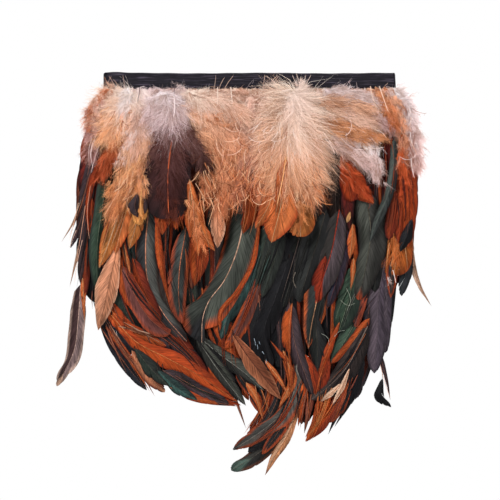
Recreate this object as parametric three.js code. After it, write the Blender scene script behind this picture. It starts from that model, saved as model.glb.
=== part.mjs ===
// A flat panel of cape feathers that hangs from a folded ribbon.
// Millimetres, +Z up, -Y is the front. The origin is the middle of the ribbon's top fold, where it hangs.
import * as THREE from "three";

// Driving dimensions
const RIBBON_LENGTH = 233;
const RIBBON_HEIGHT = 12;
const RIBBON_WALL = 1;
const FOLD_GAP = 2.2;
const FOLD_SEGMENTS = 8;

const QUILL_WIDTH = 1.6;
const QUILL_THICKNESS = 1.2;
const QUILL_TOP_Z = -4;
const QUILL_EXIT_Z = -RIBBON_HEIGHT - 1;
const QUILL_SPAN = 224;
const QUILL_PITCH = 3.2;

// The height at which a long feather reaches its own depth, and how far it has moved over to its path by then.
const SPREAD_Z = -44;
const PLUME_SPREAD_Z = -20;
const SPREAD_SHARE = 0.35;

// The long feathers lie in thin layers, numbered from the back to the front.
const LAYER_BACK_Y = 1;
const LAYER_PITCH = 1.5;
const BLADE_THICKNESS = 1.1;

// The locks behind them alternate between two depths, so that neighbours overlap like shingles.
const LOCK_DEPTHS = [4.6, 8.8];
const LOCK_THICKNESS = 3.4;

const PLUME_DEPTH = -20.5;
const BACK_PLUME_DEPTH = 16;
const BACK_PLUME_COUNT = 5;
const BACK_PLUME_PITCH = 46;
const BACK_PLUME_WIDTH = 42;
const BACK_PLUME_THICKNESS = 8;
const BACK_PLUME_HEIGHTS = [-34, -64, -102];

// Outlines: the share of the full width at even steps from where the vane starts to the tip.
const PLUME_OUTLINE = [0.3, 0.84, 1, 1, 0.96, 0.86, 0.7, 0.45, 0.08];
const LOCK_OUTLINE = [0.1, 0.6, 0.86, 0.97, 1, 0.96, 0.82, 0.52, 0.06];
const FEATHER_OUTLINE = [0.12, 0.45, 0.75, 0.93, 1, 0.95, 0.78, 0.48, 0.06];
const QUILL_STATIONS = 3;

const PLUME_FORM = { spreadZ: PLUME_SPREAD_Z, vaneFrom: 0.14, sides: 10, outline: PLUME_OUTLINE };
const LOCK_FORM = {
  colour: "bronze_green",
  spreadZ: SPREAD_Z,
  vaneFrom: 0.2,
  sides: 6,
  outline: LOCK_OUTLINE,
  thickness: LOCK_THICKNESS,
};
const FEATHER_FORM = { spreadZ: SPREAD_Z, sides: 6, outline: FEATHER_OUTLINE, thickness: BLADE_THICKNESS };

const RIBBON_ROUGHNESS = 0.45;
const FEATHER_ROUGHNESS = 0.6;
const COLOURS = {
  ribbon: 0x26222e,
  cream: 0xf0cdaf,
  peach: 0xe8aa73,
  lilac: 0xcdbec0,
  rust: 0xbe5523,
  tan: 0xc8916e,
  bronze_green: 0x2d3230,
  slate: 0x554850,
};

// Short fluffy plumes in front. The path's points are (x, z) below the ribbon.
// A quill's rootAt is where it would stand along the ribbon; without one it stands above the path's first point.
const PLUMES = [
  { name: "plume_1", colour: "peach", width: 25, thickness: 9, rootAt: -140,
    path: [[-121, -30], [-127, -52], [-129, -72]] },
  { name: "plume_2", colour: "peach", width: 27, thickness: 10, path: [[-96, -34], [-96, -75], [-90, -122]] },
  { name: "plume_3", colour: "lilac", width: 38, thickness: 10, path: [[-62, -34], [-63, -80], [-62, -124]] },
  { name: "plume_4", colour: "peach", width: 34, thickness: 10, path: [[-23, -34], [-25, -85], [-31, -140]] },
  { name: "plume_5", colour: "cream", width: 62, thickness: 12, path: [[28, -30], [31, -75], [36, -134]] },
  { name: "plume_6", colour: "peach", width: 35, thickness: 10, path: [[81, -34], [83, -66], [82, -106]] },
  { name: "plume_7", colour: "lilac", width: 34, thickness: 10, rootAt: 140,
    path: [[119, -32], [124, -58], [123, -90]] },
];

// The mass of long feathers, in locks from left to right.
const LOCKS = [
  { name: "lock_1", width: 28, path: [[-124, -85], [-126, -149], [-113, -203]] },
  { name: "lock_2", width: 38, path: [[-98, -100], [-102, -172], [-72, -238]] },
  { name: "lock_3", width: 38, path: [[-68, -110], [-68, -188], [-30, -258]] },
  { name: "lock_4", width: 38, path: [[-36, -120], [-34, -196], [-4, -264]] },
  { name: "lock_5", width: 36, path: [[-4, -120], [6, -204], [8, -276]] },
  { name: "lock_6", width: 36, path: [[28, -120], [34, -204], [36, -270]] },
  { name: "lock_7", width: 36, path: [[56, -120], [62, -204], [54, -284]] },
  { name: "lock_8", width: 36, path: [[82, -112], [86, -188], [77, -262]] },
  { name: "lock_9", width: 30, path: [[106, -92], [109, -148], [100, -206]] },
  { name: "lock_10", width: 24, path: [[127, -64], [130, -116], [120, -172]] },
];

// The feathers that stand out singly. The vane starts at vaneFrom, a share of the feather's length.
const FEATHERS = [
  { name: "left_edge_upper", colour: "bronze_green", layer: 2, width: 10, vaneFrom: 0.35,
    path: [[-133, -77], [-137, -115], [-148, -136]] },
  { name: "left_edge_lower", colour: "bronze_green", layer: 4, width: 11, vaneFrom: 0.4,
    path: [[-128, -100], [-136, -140], [-142, -172]] },
  { name: "left_droop", colour: "slate", layer: 3, width: 14, vaneFrom: 0.6,
    path: [[-131, -130], [-136, -197], [-154, -250]] },
  { name: "left_tan", colour: "tan", layer: 8, width: 20, vaneFrom: 0.4,
    path: [[-106, -100], [-109, -160], [-120, -204]] },
  { name: "left_rust_sweep", colour: "rust", layer: 5, width: 20, vaneFrom: 0.5,
    path: [[-103, -150], [-90, -206], [-56, -234], [-19, -256]] },
  { name: "left_dark_sweep", colour: "bronze_green", layer: 1, width: 16, vaneFrom: 0.55,
    path: [[-100, -170], [-88, -226], [-55, -256]] },
  { name: "left_rust_round", colour: "rust", layer: 7, width: 18, vaneFrom: 0.6,
    path: [[-94, -150], [-82, -190], [-65, -207]] },
  { name: "left_grey", colour: "slate", layer: 6, width: 20, vaneFrom: 0.4,
    path: [[-81, -118], [-80, -160], [-53, -211]] },
  { name: "centre_s_curve", colour: "bronze_green", layer: 7, width: 28, vaneFrom: 0.4,
    path: [[-4, -105], [-13, -150], [-34, -184], [-38, -214]] },
  { name: "centre_fan_low", colour: "bronze_green", layer: 3, width: 16, vaneFrom: 0.72,
    path: [[-40, -205], [-24, -240], [-4, -263]] },
  { name: "centre_fan_high", colour: "bronze_green", layer: 4, width: 16, vaneFrom: 0.72,
    path: [[-34, -205], [-14, -232], [8, -254]] },
  { name: "centre_tan", colour: "tan", layer: 2, width: 18, vaneFrom: 0.72,
    path: [[-10, -206], [6, -236], [24, -260]] },
  { name: "centre_rust", colour: "rust", layer: 6, width: 18, vaneFrom: 0.5,
    path: [[6, -140], [-8, -184], [-22, -218]] },
  { name: "centre_black", colour: "bronze_green", layer: 5, width: 28, vaneFrom: 0.4,
    path: [[28, -130], [15, -182], [10, -240]] },
  { name: "centre_orange", colour: "rust", layer: 9, width: 14, vaneFrom: 0.6,
    path: [[42, -150], [33, -196], [30, -234]] },
  { name: "right_red_shaft", colour: "bronze_green", layer: 7, width: 20, vaneFrom: 0.4,
    path: [[70, -122], [61, -160], [52, -182]] },
  { name: "right_laced", colour: "bronze_green", layer: 5, width: 17, vaneFrom: 0.6,
    path: [[60, -150], [54, -192], [46, -220]] },
  { name: "right_green", colour: "bronze_green", layer: 8, width: 24, vaneFrom: 0.4,
    path: [[93, -105], [94, -140], [86, -180]] },
  { name: "right_slender_dark", colour: "bronze_green", layer: 9, width: 11, vaneFrom: 0.35,
    path: [[114, -62], [111, -94], [97, -130]] },
  { name: "right_rust", colour: "rust", layer: 10, width: 18, vaneFrom: 0.4,
    path: [[126, -72], [130, -116], [117, -160]] },
  { name: "right_purple", colour: "slate", layer: 6, width: 19, vaneFrom: 0.58,
    path: [[112, -152], [106, -204], [99, -238]] },
  { name: "right_dangle", colour: "bronze_green", layer: 3, width: 11, vaneFrom: 0.88,
    path: [[103, -215], [106, -244], [111, -266]] },
  { name: "right_slender_tan", colour: "tan", layer: 2, width: 7, vaneFrom: 0.55,
    path: [[127, -134], [131, -160], [145, -185]] },
  { name: "right_brown_sweep", colour: "slate", layer: 4, width: 18, vaneFrom: 0.66,
    path: [[96, -190], [82, -234], [52, -260]] },
  { name: "right_black_edge", colour: "bronze_green", layer: 1, width: 14, vaneFrom: 0.7,
    path: [[88, -206], [88, -244], [68, -276]] },
  { name: "low_orange", colour: "rust", layer: 2, width: 15, vaneFrom: 0.8,
    path: [[68, -240], [60, -270], [46, -292]] },
  { name: "tail_dark", colour: "bronze_green", layer: 4, width: 15, vaneFrom: 0.62,
    path: [[35, -220], [30, -266], [10, -288], [-13, -300]] },
  { name: "tail_green", colour: "bronze_green", layer: 1, width: 13, vaneFrom: 0.7,
    path: [[42, -240], [28, -286], [6, -308], [-15, -317]] },
  { name: "tail_tan", colour: "tan", layer: 0, width: 9, vaneFrom: 0.8,
    path: [[40, -266], [30, -294], [12, -321]] },
];

const THROUGH_PANEL = new THREE.Vector3(0, 1, 0);
const DOWN = new THREE.Vector3(0, 0, -1);

function material(colour, roughness) {
  return new THREE.MeshStandardMaterial({ color: COLOURS[colour], roughness, metalness: 0 });
}

function namedMesh(name, geometry, colour, roughness) {
  const mesh = new THREE.Mesh(geometry, material(colour, roughness));
  mesh.name = name;
  return mesh;
}

// The ribbon's U section in (y, z), extruded along x and centred on the origin.
function ribbonBand() {
  const inner = FOLD_GAP / 2;
  const outer = inner + RIBBON_WALL;
  const section = new THREE.Shape();
  section.moveTo(outer, -RIBBON_HEIGHT);
  section.lineTo(outer, -outer);
  section.absarc(0, -outer, outer, 0, Math.PI, false);
  section.lineTo(-outer, -RIBBON_HEIGHT);
  section.lineTo(-inner, -RIBBON_HEIGHT);
  section.lineTo(-inner, -outer);
  section.absarc(0, -outer, inner, Math.PI, 0, true);
  section.lineTo(inner, -RIBBON_HEIGHT);
  section.closePath();
  const band = new THREE.ExtrudeGeometry(section, {
    depth: RIBBON_LENGTH,
    bevelEnabled: false,
    curveSegments: FOLD_SEGMENTS,
  });
  band.translate(0, 0, -RIBBON_LENGTH / 2);
  const alongX = new THREE.Matrix4().makeBasis(
    new THREE.Vector3(0, 1, 0),
    new THREE.Vector3(0, 0, 1),
    new THREE.Vector3(1, 0, 0),
  );
  return namedMesh("ribbon_band", band.applyMatrix4(alongX), "ribbon", RIBBON_ROUGHNESS);
}

// A closed loft of sections, each a ring of the same number of points.
function loft(rings) {
  const sides = rings[0].length;
  const positions = rings.flat().flatMap((point) => point.toArray());
  const faces = [];
  rings.slice(1).forEach((_, row) => {
    for (let side = 0; side < sides; side += 1) {
      const next = (side + 1) % sides;
      const a = row * sides + side;
      const b = row * sides + next;
      faces.push(a, a + sides, b, b, a + sides, b + sides);
    }
  });
  const last = (rings.length - 1) * sides;
  for (let side = 1; side < sides - 1; side += 1) {
    faces.push(0, side, side + 1, last, last + side + 1, last + side);
  }
  const geometry = new THREE.BufferGeometry();
  geometry.setAttribute("position", new THREE.Float32BufferAttribute(positions, 3));
  geometry.setIndex(faces);
  return geometry;
}

// The line of a shaft: it leaves the fold at the root, moves to its depth, and follows its path from there.
class Shaft extends THREE.Curve {
  constructor({ rootX, path, depth, spreadZ }) {
    super();
    const spreadX = THREE.MathUtils.lerp(rootX, path[0][0], SPREAD_SHARE);
    const plan = [[rootX, QUILL_EXIT_Z], [spreadX, spreadZ], ...path];
    this.plan = new THREE.CatmullRomCurve3(
      plan.map(([x, z]) => new THREE.Vector3(x, 0, z)),
      false,
      "centripetal",
    );
    this.depth = depth;
    this.spreadZ = spreadZ;
  }

  getPoint(share, target = new THREE.Vector3()) {
    const point = this.plan.getPoint(share, target);
    point.y = this.depth * (1 - THREE.MathUtils.smoothstep(point.z, this.spreadZ, QUILL_EXIT_Z));
    return point;
  }
}

// One ring round the shaft: a flat ellipse with its long axis across the feather.
function ring(centre, along, width, thickness, sides) {
  const across = new THREE.Vector3().crossVectors(along, THROUGH_PANEL).normalize();
  const through = new THREE.Vector3().crossVectors(across, along).normalize();
  return Array.from({ length: sides }, (_, side) => {
    const turn = (2 * Math.PI * side) / sides;
    return centre
      .clone()
      .addScaledVector(across, (Math.cos(turn) * width) / 2)
      .addScaledVector(through, (Math.sin(turn) * thickness) / 2);
  });
}

// A quill that comes out of the fold and widens, from vaneFrom on, to a vane or a plume.
function featherSolid(piece) {
  const { width, thickness, vaneFrom, sides, outline } = piece;
  const shaft = new Shaft(piece);
  const quillTop = new THREE.Vector3(piece.rootX, 0, QUILL_TOP_Z);
  const rings = [ring(quillTop, DOWN, QUILL_WIDTH, QUILL_THICKNESS, sides)];
  const addRing = (share, ringWidth, ringThickness) => {
    const centre = shaft.getPointAt(share);
    const along = shaft.getTangentAt(share);
    rings.push(ring(centre, along, ringWidth, ringThickness, sides));
  };
  for (let station = 0; station < QUILL_STATIONS; station += 1) {
    addRing((vaneFrom * station) / QUILL_STATIONS, QUILL_WIDTH, QUILL_THICKNESS);
  }
  outline.forEach((bulge, station) => {
    const along = station / (outline.length - 1);
    const ringWidth = width * bulge;
    const full = THREE.MathUtils.lerp(QUILL_THICKNESS, thickness, bulge);
    addRing(THREE.MathUtils.lerp(vaneFrom, 1, along), ringWidth, Math.min(full, ringWidth));
  });
  return loft(rings);
}

// What hangs from the ribbon, each piece with its own shape and depth.
function hangingPieces() {
  const plumes = PLUMES.map((plume) => ({ ...PLUME_FORM, ...plume, depth: PLUME_DEPTH }));
  const backPlumes = Array.from({ length: BACK_PLUME_COUNT }, (_, index) => {
    const x = (index - (BACK_PLUME_COUNT - 1) / 2) * BACK_PLUME_PITCH;
    return {
      ...PLUME_FORM,
      name: `back_plume_${index + 1}`,
      colour: "peach",
      width: BACK_PLUME_WIDTH,
      thickness: BACK_PLUME_THICKNESS,
      path: BACK_PLUME_HEIGHTS.map((z) => [x, z]),
      depth: BACK_PLUME_DEPTH,
    };
  });
  const locks = LOCKS.map((lock, index) => ({
    ...LOCK_FORM,
    ...lock,
    depth: LOCK_DEPTHS[index % LOCK_DEPTHS.length],
  }));
  const feathers = FEATHERS.map((feather) => ({
    ...FEATHER_FORM,
    ...feather,
    name: `feather_${feather.name}`,
    depth: LAYER_BACK_Y - LAYER_PITCH * feather.layer,
  }));
  return [...plumes, ...backPlumes, ...locks, ...feathers];
}

// Quills stand side by side in the fold, each as near its wanted place as there is room.
function withRoots(pieces) {
  const wanted = (piece) => piece.rootAt ?? piece.path[0][0];
  const ordered = [...pieces].sort((a, b) => wanted(a) - wanted(b));
  let nextFree = -QUILL_SPAN / 2;
  return ordered.map((piece, index) => {
    const waiting = ordered.length - 1 - index;
    const lastPlace = QUILL_SPAN / 2 - QUILL_PITCH * waiting;
    const rootX = Math.min(Math.max(wanted(piece), nextFree), lastPlace);
    nextFree = rootX + QUILL_PITCH;
    return { ...piece, rootX };
  });
}

const cape = new THREE.Group();
cape.add(ribbonBand());
for (const piece of withRoots(hangingPieces())) {
  cape.add(namedMesh(piece.name, featherSolid(piece), piece.colour, FEATHER_ROUGHNESS));
}

export default cape;
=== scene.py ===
"""A flat panel of cape feathers that hangs from a folded ribbon, in metres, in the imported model's frame.

Feathers, down and stray hairs are grown from tables, whose pixels are places in the photograph.
"""

import math
from collections import namedtuple
from itertools import starmap

import bmesh
import bpy
import numpy as np
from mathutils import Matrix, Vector


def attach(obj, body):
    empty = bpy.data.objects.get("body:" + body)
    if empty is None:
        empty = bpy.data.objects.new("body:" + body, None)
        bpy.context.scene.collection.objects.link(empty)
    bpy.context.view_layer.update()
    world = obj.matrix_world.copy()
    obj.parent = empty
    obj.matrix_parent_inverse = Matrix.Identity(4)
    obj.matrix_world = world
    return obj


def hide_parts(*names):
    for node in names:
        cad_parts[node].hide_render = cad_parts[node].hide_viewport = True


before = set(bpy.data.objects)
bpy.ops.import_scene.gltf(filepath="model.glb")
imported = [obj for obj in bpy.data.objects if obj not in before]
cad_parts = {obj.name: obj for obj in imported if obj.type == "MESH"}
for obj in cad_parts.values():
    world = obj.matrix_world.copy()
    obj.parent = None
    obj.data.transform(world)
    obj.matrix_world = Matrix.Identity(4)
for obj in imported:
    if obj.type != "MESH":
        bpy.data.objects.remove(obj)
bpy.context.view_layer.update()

# The photograph's scale: metres to a pixel, and the pixel where the frame's origin lies.
PIXEL = 0.0008
ORIGIN_PX = (250, 74)
PHOTO_PX = 500
MM = 0.001

FRONT = np.array((0.0, -1.0, 0.0))
DOWN = np.array((0.0, 0.0, -1.0))

# How much brighter than its own colour a vane, and the self-shadowing down, comes out under this light.
VANE_GAIN = 2.6
DOWN_GAIN = np.array((1.15, 1.21, 1.2))


def linear(colour, gain=VANE_GAIN):
    """A colour given as 0 to 255 sRGB as it shows under the light, as the surface's own linear colour."""
    share = np.asarray(colour, float) / 255
    return np.where(share <= 0.04045, share / 12.92, ((share + 0.055) / 1.055) ** 2.4) / gain


def at_pixel(px, py, lift):
    """The point at a pixel of the photograph, lift millimetres in front of the panel's middle."""
    x = (np.asarray(px, float) - ORIGIN_PX[0]) * PIXEL
    z = (ORIGIN_PX[1] - np.asarray(py, float)) * PIXEL
    y = -np.asarray(lift, float) * MM
    return np.stack(np.broadcast_arrays(x, y, z), axis=-1)


def at_pixels(pixels, lift):
    """The points at a list of pixels, at one lift or at one for each."""
    return at_pixel(*np.array(pixels, float).T, lift)


def unit(vectors):
    """The vectors at length 1."""
    return vectors / np.maximum(np.linalg.norm(vectors, axis=-1, keepdims=True), 1e-9)


def between(ends, share):
    """The value at a share of the way from one end to the other."""
    return ends[0] + (ends[1] - ends[0]) * share


def path_length(points):
    return np.linalg.norm(np.diff(points, axis=0), axis=1).sum()


DENSE_STEPS = 160


def smooth_path(points, count):
    """Points evenly spaced along a smooth curve through the given points."""
    points = np.asarray(points, float)
    steps = np.linalg.norm(np.diff(points, axis=0), axis=1) ** 0.5
    knots = np.concatenate(([0.0], np.cumsum(steps)))
    slopes = np.gradient(points, knots, axis=0)
    dense = np.linspace(0, knots[-1], DENSE_STEPS)
    piece = np.clip(np.searchsorted(knots, dense, side="right") - 1, 0, len(knots) - 2)
    span = (knots[piece + 1] - knots[piece])[:, None]
    s = (dense - knots[piece])[:, None] / span
    curve = (
        (2 * s**3 - 3 * s**2 + 1) * points[piece]
        + (s**3 - 2 * s**2 + s) * span * slopes[piece]
        + (3 * s**2 - 2 * s**3) * points[piece + 1]
        + (s**3 - s**2) * span * slopes[piece + 1]
    )
    lengths = np.concatenate(([0.0], np.cumsum(np.linalg.norm(np.diff(curve, axis=0), axis=1))))
    even = np.linspace(0, lengths[-1], count)
    return np.stack([np.interp(even, lengths, curve[:, k]) for k in range(curve.shape[1])], axis=1)


# Materials

VANE_DARK, VANE_WARM, DOWN_SLOT = 0, 1, 2


def node_tools(name):
    """A new node material, with helpers that add a node and link a value or a socket to an input."""
    material = bpy.data.materials.new(name)
    material.use_nodes = True
    tree = material.node_tree
    shader = tree.nodes["Principled BSDF"]

    def add(kind, inputs=(), **settings):
        node = tree.nodes.new(kind)
        for key, value in settings.items():
            setattr(node, key, value)
        for key, value in dict(inputs).items():
            if isinstance(value, bpy.types.NodeSocket):
                tree.links.new(value, node.inputs[key])
            else:
                node.inputs[key].default_value = value
        return node

    def math_node(operation, *values):
        return add("ShaderNodeMath", dict(enumerate(values)), operation=operation).outputs[0]

    def link(socket, key):
        tree.links.new(socket, shader.inputs[key])

    return material, shader, add, math_node, link


def attribute(add, name, output):
    """One output of the mesh's own attribute."""
    return add("ShaderNodeAttribute", attribute_name=name).outputs[output]


# The places of a colour mix node's factor, its two colours and its result among its sockets.
MIX_FACTOR, MIX_FIRST, MIX_SECOND, MIX_RESULT = 0, 6, 7, 2


def mix_colour(add, factor, first, second, blend="MIX"):
    """Two colours mixed by a factor."""
    inputs = {MIX_FACTOR: factor, MIX_FIRST: first, MIX_SECOND: second}
    return add("ShaderNodeMix", inputs, data_type="RGBA", blend_type=blend).outputs[MIX_RESULT]


def smooth_step(add, value, low, high):
    """0 below low and 1 above high, with a smooth rise between."""
    inputs = {"Value": value, "From Min": low, "From Max": high}
    return add("ShaderNodeMapRange", inputs, interpolation_type="SMOOTHSTEP").outputs["Result"]


BARB_PITCH_MM = 0.42
# How many features a noise along the barbs has to a millimetre of shaft.
STREAKS_PER_MM, SLITS_PER_MM, PATCHES_PER_MM = 1.1, 0.2, 0.045
NOISE_ROUGHNESS = 0.62
# How ragged streaks make the line of an edge or tip colour, and over how much of the vane that line is soft.
EDGE_RAGGED, TIP_RAGGED = 0.3, 0.35
EDGE_SOFT, TIP_SOFT = (-0.17, 0.13), (-0.04, 0.04)
# A slit between two barbs, shown as a line of painted shade: how close it lies to the noise's middle, where
# it starts, and how dark it is.
SLIT_WIDTH, SLIT_START, SLIT_SHADE = 0.02, (0.1, 0.6), 0.42
RIDGE_SHARE, RIDGE_STRENGTH, RIDGE_METRES = 0.35, 0.35, 0.00025
# The stretches of the noises that their tones, and the roughness, are spread over, and where the painted
# shade that darkens a vane towards its edge starts.
STREAK_SPAN, PATCH_SPAN, GLOSS_SPAN, EDGE_SHADE_START = (0.34, 0.66), (0.32, 0.68), (0.3, 0.7), 0.15
GLOSS_RANGE = (-0.08, 0.1)


def vane_material(name, roughness, specular, streak_range, patch_range, edge_shade):
    """A feather's vane: core, edge and tip colours with streaks, painted shade in slits and towards the edge,
    broad patches that are partly painted sheen, and ridges along its barbs.
    """
    material, shader, add, calc, link = node_tools(name)
    form = add("ShaderNodeSeparateXYZ", {"Vector": attribute(add, "form", "Vector")})
    across, along, barb = form.outputs
    marks = add("ShaderNodeSeparateXYZ", {"Vector": attribute(add, "marks", "Vector")})
    edge_start, tip_start, seed = marks.outputs
    beside = calc("ABSOLUTE", across)

    def barb_noise(per_mm, sideways, salt, detail):
        place = add(
            "ShaderNodeCombineXYZ",
            {
                "X": calc("MULTIPLY", barb, per_mm),
                "Y": calc("MULTIPLY", across, sideways),
                "Z": calc("MULTIPLY", seed, salt),
            },
        )
        settings = {"Vector": place.outputs[0], "Scale": 1.0, "Detail": detail, "Roughness": NOISE_ROUGHNESS}
        return add("ShaderNodeTexNoise", settings).outputs["Fac"]

    def spread(value, start, end, low, high):
        settings = {"Value": value, "From Min": start, "From Max": end, "To Min": low, "To Max": high}
        return add("ShaderNodeMapRange", settings).outputs["Result"]

    streaks = barb_noise(STREAKS_PER_MM, sideways=1.3, salt=91.0, detail=4.0)
    # Broad patches, lighter and darker: partly random tone, partly painted sheen.
    patches = barb_noise(PATCHES_PER_MM, sideways=1.1, salt=53.0, detail=2.0)
    partings = barb_noise(SLITS_PER_MM, sideways=0.5, salt=37.0, detail=1.0)
    parting = calc("ABSOLUTE", calc("SUBTRACT", partings, 0.5))
    # Painted shade: dark lines along the barbs where the vane parts.
    slit_shade = calc("MULTIPLY", spread(parting, 0.0, SLIT_WIDTH, 1.0, 0.0), smooth_step(add, beside, *SLIT_START))
    ragged = calc("MULTIPLY", calc("SUBTRACT", streaks, 0.5), EDGE_RAGGED)
    edge_place = calc("ADD", calc("SUBTRACT", beside, edge_start), ragged)
    tip_place = calc("ADD", calc("SUBTRACT", along, tip_start), calc("MULTIPLY", ragged, TIP_RAGGED))
    core, edge, tip = (attribute(add, layer, "Color") for layer in ("core", "edge", "tip"))
    colour = mix_colour(add, smooth_step(add, edge_place, *EDGE_SOFT), core, edge)
    colour = mix_colour(add, smooth_step(add, tip_place, *TIP_SOFT), colour, tip)
    streak_tone = spread(streaks, *STREAK_SPAN, *streak_range)
    tone = calc("MULTIPLY", streak_tone, spread(patches, *PATCH_SPAN, *patch_range))
    # Painted shade: the vane darkens from the shaft towards its edge, as the sheen of a curved vane falls
    # off.
    tone = calc("MULTIPLY", tone, spread(beside, EDGE_SHADE_START, 1.0, 1.0, edge_shade))
    tone = calc("MULTIPLY", tone, spread(slit_shade, 0.0, 1.0, 1.0, SLIT_SHADE))
    grey = add("ShaderNodeCombineColor", {"Red": tone, "Green": tone, "Blue": tone}).outputs[0]
    link(mix_colour(add, 1.0, colour, grey, "MULTIPLY"), "Base Color")
    ridges = calc("SINE", calc("MULTIPLY", barb, 2 * math.pi / BARB_PITCH_MM))
    height = calc("ADD", calc("MULTIPLY", ridges, RIDGE_SHARE), streaks)
    bump = add("ShaderNodeBump", {"Strength": RIDGE_STRENGTH, "Distance": RIDGE_METRES, "Height": height})
    link(bump.outputs[0], "Normal")
    link(spread(streaks, *GLOSS_SPAN, roughness + GLOSS_RANGE[0], roughness + GLOSS_RANGE[1]), "Roughness")
    shader.inputs["Specular IOR Level"].default_value = specular
    return material


DOWN_ROUGHNESS, DOWN_SPECULAR, DOWN_LIGHT_THROUGH = 0.75, 0.1, 0.35


def down_material():
    """Loose down: each strand's tint, with its painted shade and highlight, and some light passing through.
    """
    material, shader, add, _, link = node_tools("down")
    tint = attribute(add, "core", "Color")
    link(tint, "Base Color")
    shader.inputs["Roughness"].default_value = DOWN_ROUGHNESS
    shader.inputs["Specular IOR Level"].default_value = DOWN_SPECULAR
    through = add("ShaderNodeBsdfTranslucent", {"Color": tint})
    both = add("ShaderNodeMixShader", {0: DOWN_LIGHT_THROUGH, 1: shader.outputs[0], 2: through.outputs[0]})
    output = material.node_tree.nodes["Material Output"]
    material.node_tree.links.new(both.outputs[0], output.inputs["Surface"])
    return material


MATERIALS = (
    vane_material(
        "vane_dark", roughness=0.4, specular=0.07, streak_range=(0.36, 1.7), patch_range=(0.55, 1.45), edge_shade=0.7
    ),
    vane_material(
        "vane_warm", roughness=0.5, specular=0.05, streak_range=(0.46, 1.54), patch_range=(0.6, 1.4), edge_shade=0.85
    ),
    down_material(),
)


# Joined meshes

# The flat map's cells: how many times longer than high, and the share of each that stays empty at its sides.
CELL_ASPECT = 10
CELL_MARGIN = 0.06


class Pile:
    """Gathers grids of quads and their attributes, which become one mesh."""

    def __init__(self):
        self.count = 0
        self.cells = 0
        self.points, self.quads, self.slots, self.places = [], [], [], []
        self.layers = {"core": [], "edge": [], "tip": [], "form": [], "marks": []}

    def new_cells(self, number):
        """Room for some cells in the flat map: the first one's number."""
        first = self.cells
        self.cells += number
        return first

    def add(self, points, slot, cells, places, wrap=False, skip=(), pointed=False, **layers):
        """Grids as an array (grid, row, column, 3), each in its own cell of the piece's flat map.

        A pointed grid's last row is one point.
        """
        grids, rows, columns, _ = points.shape
        size = rows * columns - (columns - 1) * pointed
        index = np.arange(grids * size).reshape(grids, size) + self.count
        self.count += index.size
        if pointed:
            index = np.concatenate((index, np.repeat(index[:, -1:], columns - 1, axis=1)), axis=1)
        index = index.reshape(grids, rows, columns)
        if wrap:
            index = np.concatenate((index, index[:, :, :1]), axis=2)
        kept = np.ones(rows - 1, bool)
        kept[list(skip)] = False
        low, high = index[:, :-1][:, kept], index[:, 1:][:, kept]
        quads = np.stack((low[..., :-1], low[..., 1:], high[..., 1:], high[..., :-1]), axis=-1)

        def flat(values):
            return values.reshape(grids, rows * columns, -1)[:, :size].reshape(grids * size, -1)

        self.points.append(flat(points))
        self.quads.append(quads.reshape(-1, 4))
        self.slots.append(np.full(quads.size // 4, slot))
        cells = np.broadcast_to(np.asarray(cells).reshape(-1, 1, 1, 1), (grids, rows, columns, 1))
        places = np.broadcast_to(places, (grids, rows, columns, 2))
        self.places.append(flat(np.concatenate((cells, places), axis=-1)))
        for name, parts in self.layers.items():
            value = np.broadcast_to(layers.get(name, 0.0), (grids, rows, columns, 3))
            parts.append(flat(value))

    def flat_map(self, corners):
        """Each cell's rectangle in the unit square, and from it each corner's place."""
        columns = max(1, round(math.sqrt(self.cells / CELL_ASPECT)))
        rows = math.ceil(self.cells / columns)
        places = np.concatenate(self.places)
        row, column = np.divmod(places[:, 0], columns)
        u = (column + CELL_MARGIN + places[:, 1] * (1 - 2 * CELL_MARGIN)) / columns
        v = (row + CELL_MARGIN + places[:, 2] * (1 - 2 * CELL_MARGIN)) / rows
        return np.stack((u, v), axis=1)[corners]

    def build(self, name, materials):
        """The pile's mesh as an object in the scene. A quad whose last two corners are one is a triangle."""
        quads = np.concatenate(self.quads)
        kept = np.ones(quads.shape, bool)
        kept[:, 3] = quads[:, 3] != quads[:, 2]
        corners = quads[kept]
        sizes = kept.sum(axis=1)
        mesh = bpy.data.meshes.new(name)
        mesh.vertices.add(self.count)
        mesh.vertices.foreach_set("co", np.concatenate(self.points).astype(np.float32).ravel())
        mesh.loops.add(len(corners))
        mesh.loops.foreach_set("vertex_index", corners.astype(np.int32))
        mesh.polygons.add(len(quads))
        mesh.polygons.foreach_set("loop_start", (np.cumsum(sizes) - sizes).astype(np.int32))
        mesh.polygons.foreach_set("material_index", np.concatenate(self.slots).astype(np.int32))
        mesh.polygons.foreach_set("use_smooth", np.ones(len(quads), bool))
        mesh.update(calc_edges=True)
        for layer, parts in self.layers.items():
            values = np.concatenate(parts).astype(np.float32)
            if layer in ("form", "marks"):
                mesh.attributes.new(layer, "FLOAT_VECTOR", "POINT").data.foreach_set("vector", values.ravel())
            else:
                values = np.concatenate((values, np.ones((len(values), 1), np.float32)), axis=1)
                mesh.attributes.new(layer, "FLOAT_COLOR", "POINT").data.foreach_set("color", values.ravel())
        flat = mesh.uv_layers.new(name="OFBake")
        flat.data.foreach_set("uv", self.flat_map(corners).astype(np.float32).ravel())
        for material in materials:
            mesh.materials.append(material)
        piece = bpy.data.objects.new(name, mesh)
        bpy.context.scene.collection.objects.link(piece)
        return piece


PILES = {name: Pile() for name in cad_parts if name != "ribbon_band"}


# Feathers

# A feather's half outline: its share of full width at the start, where it is full, where it starts to
# narrow, the two powers that round or point its tip, and how ragged its edge is.
Shape = namedtuple("Shape", "start full narrows round_power tip_power ragged", defaults=(1.0,))
SHAPES = {
    "tail": Shape(0.5, 0.25, 0.6, 1.8, 0.6),
    "whole": Shape(0.5, 0.25, 0.82, 1.8, 0.6, 0.2),
    "leaf": Shape(0.15, 0.5, 0.45, 1.6, 0.85),
    "round": Shape(0.3, 0.4, 0.66, 2.4, 0.45),
    "shield": Shape(0.9, 0.1, 0.15, 1.5, 0.8),
    "sliver": Shape(0.35, 0.3, 0.25, 1.2, 0.9),
}

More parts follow.
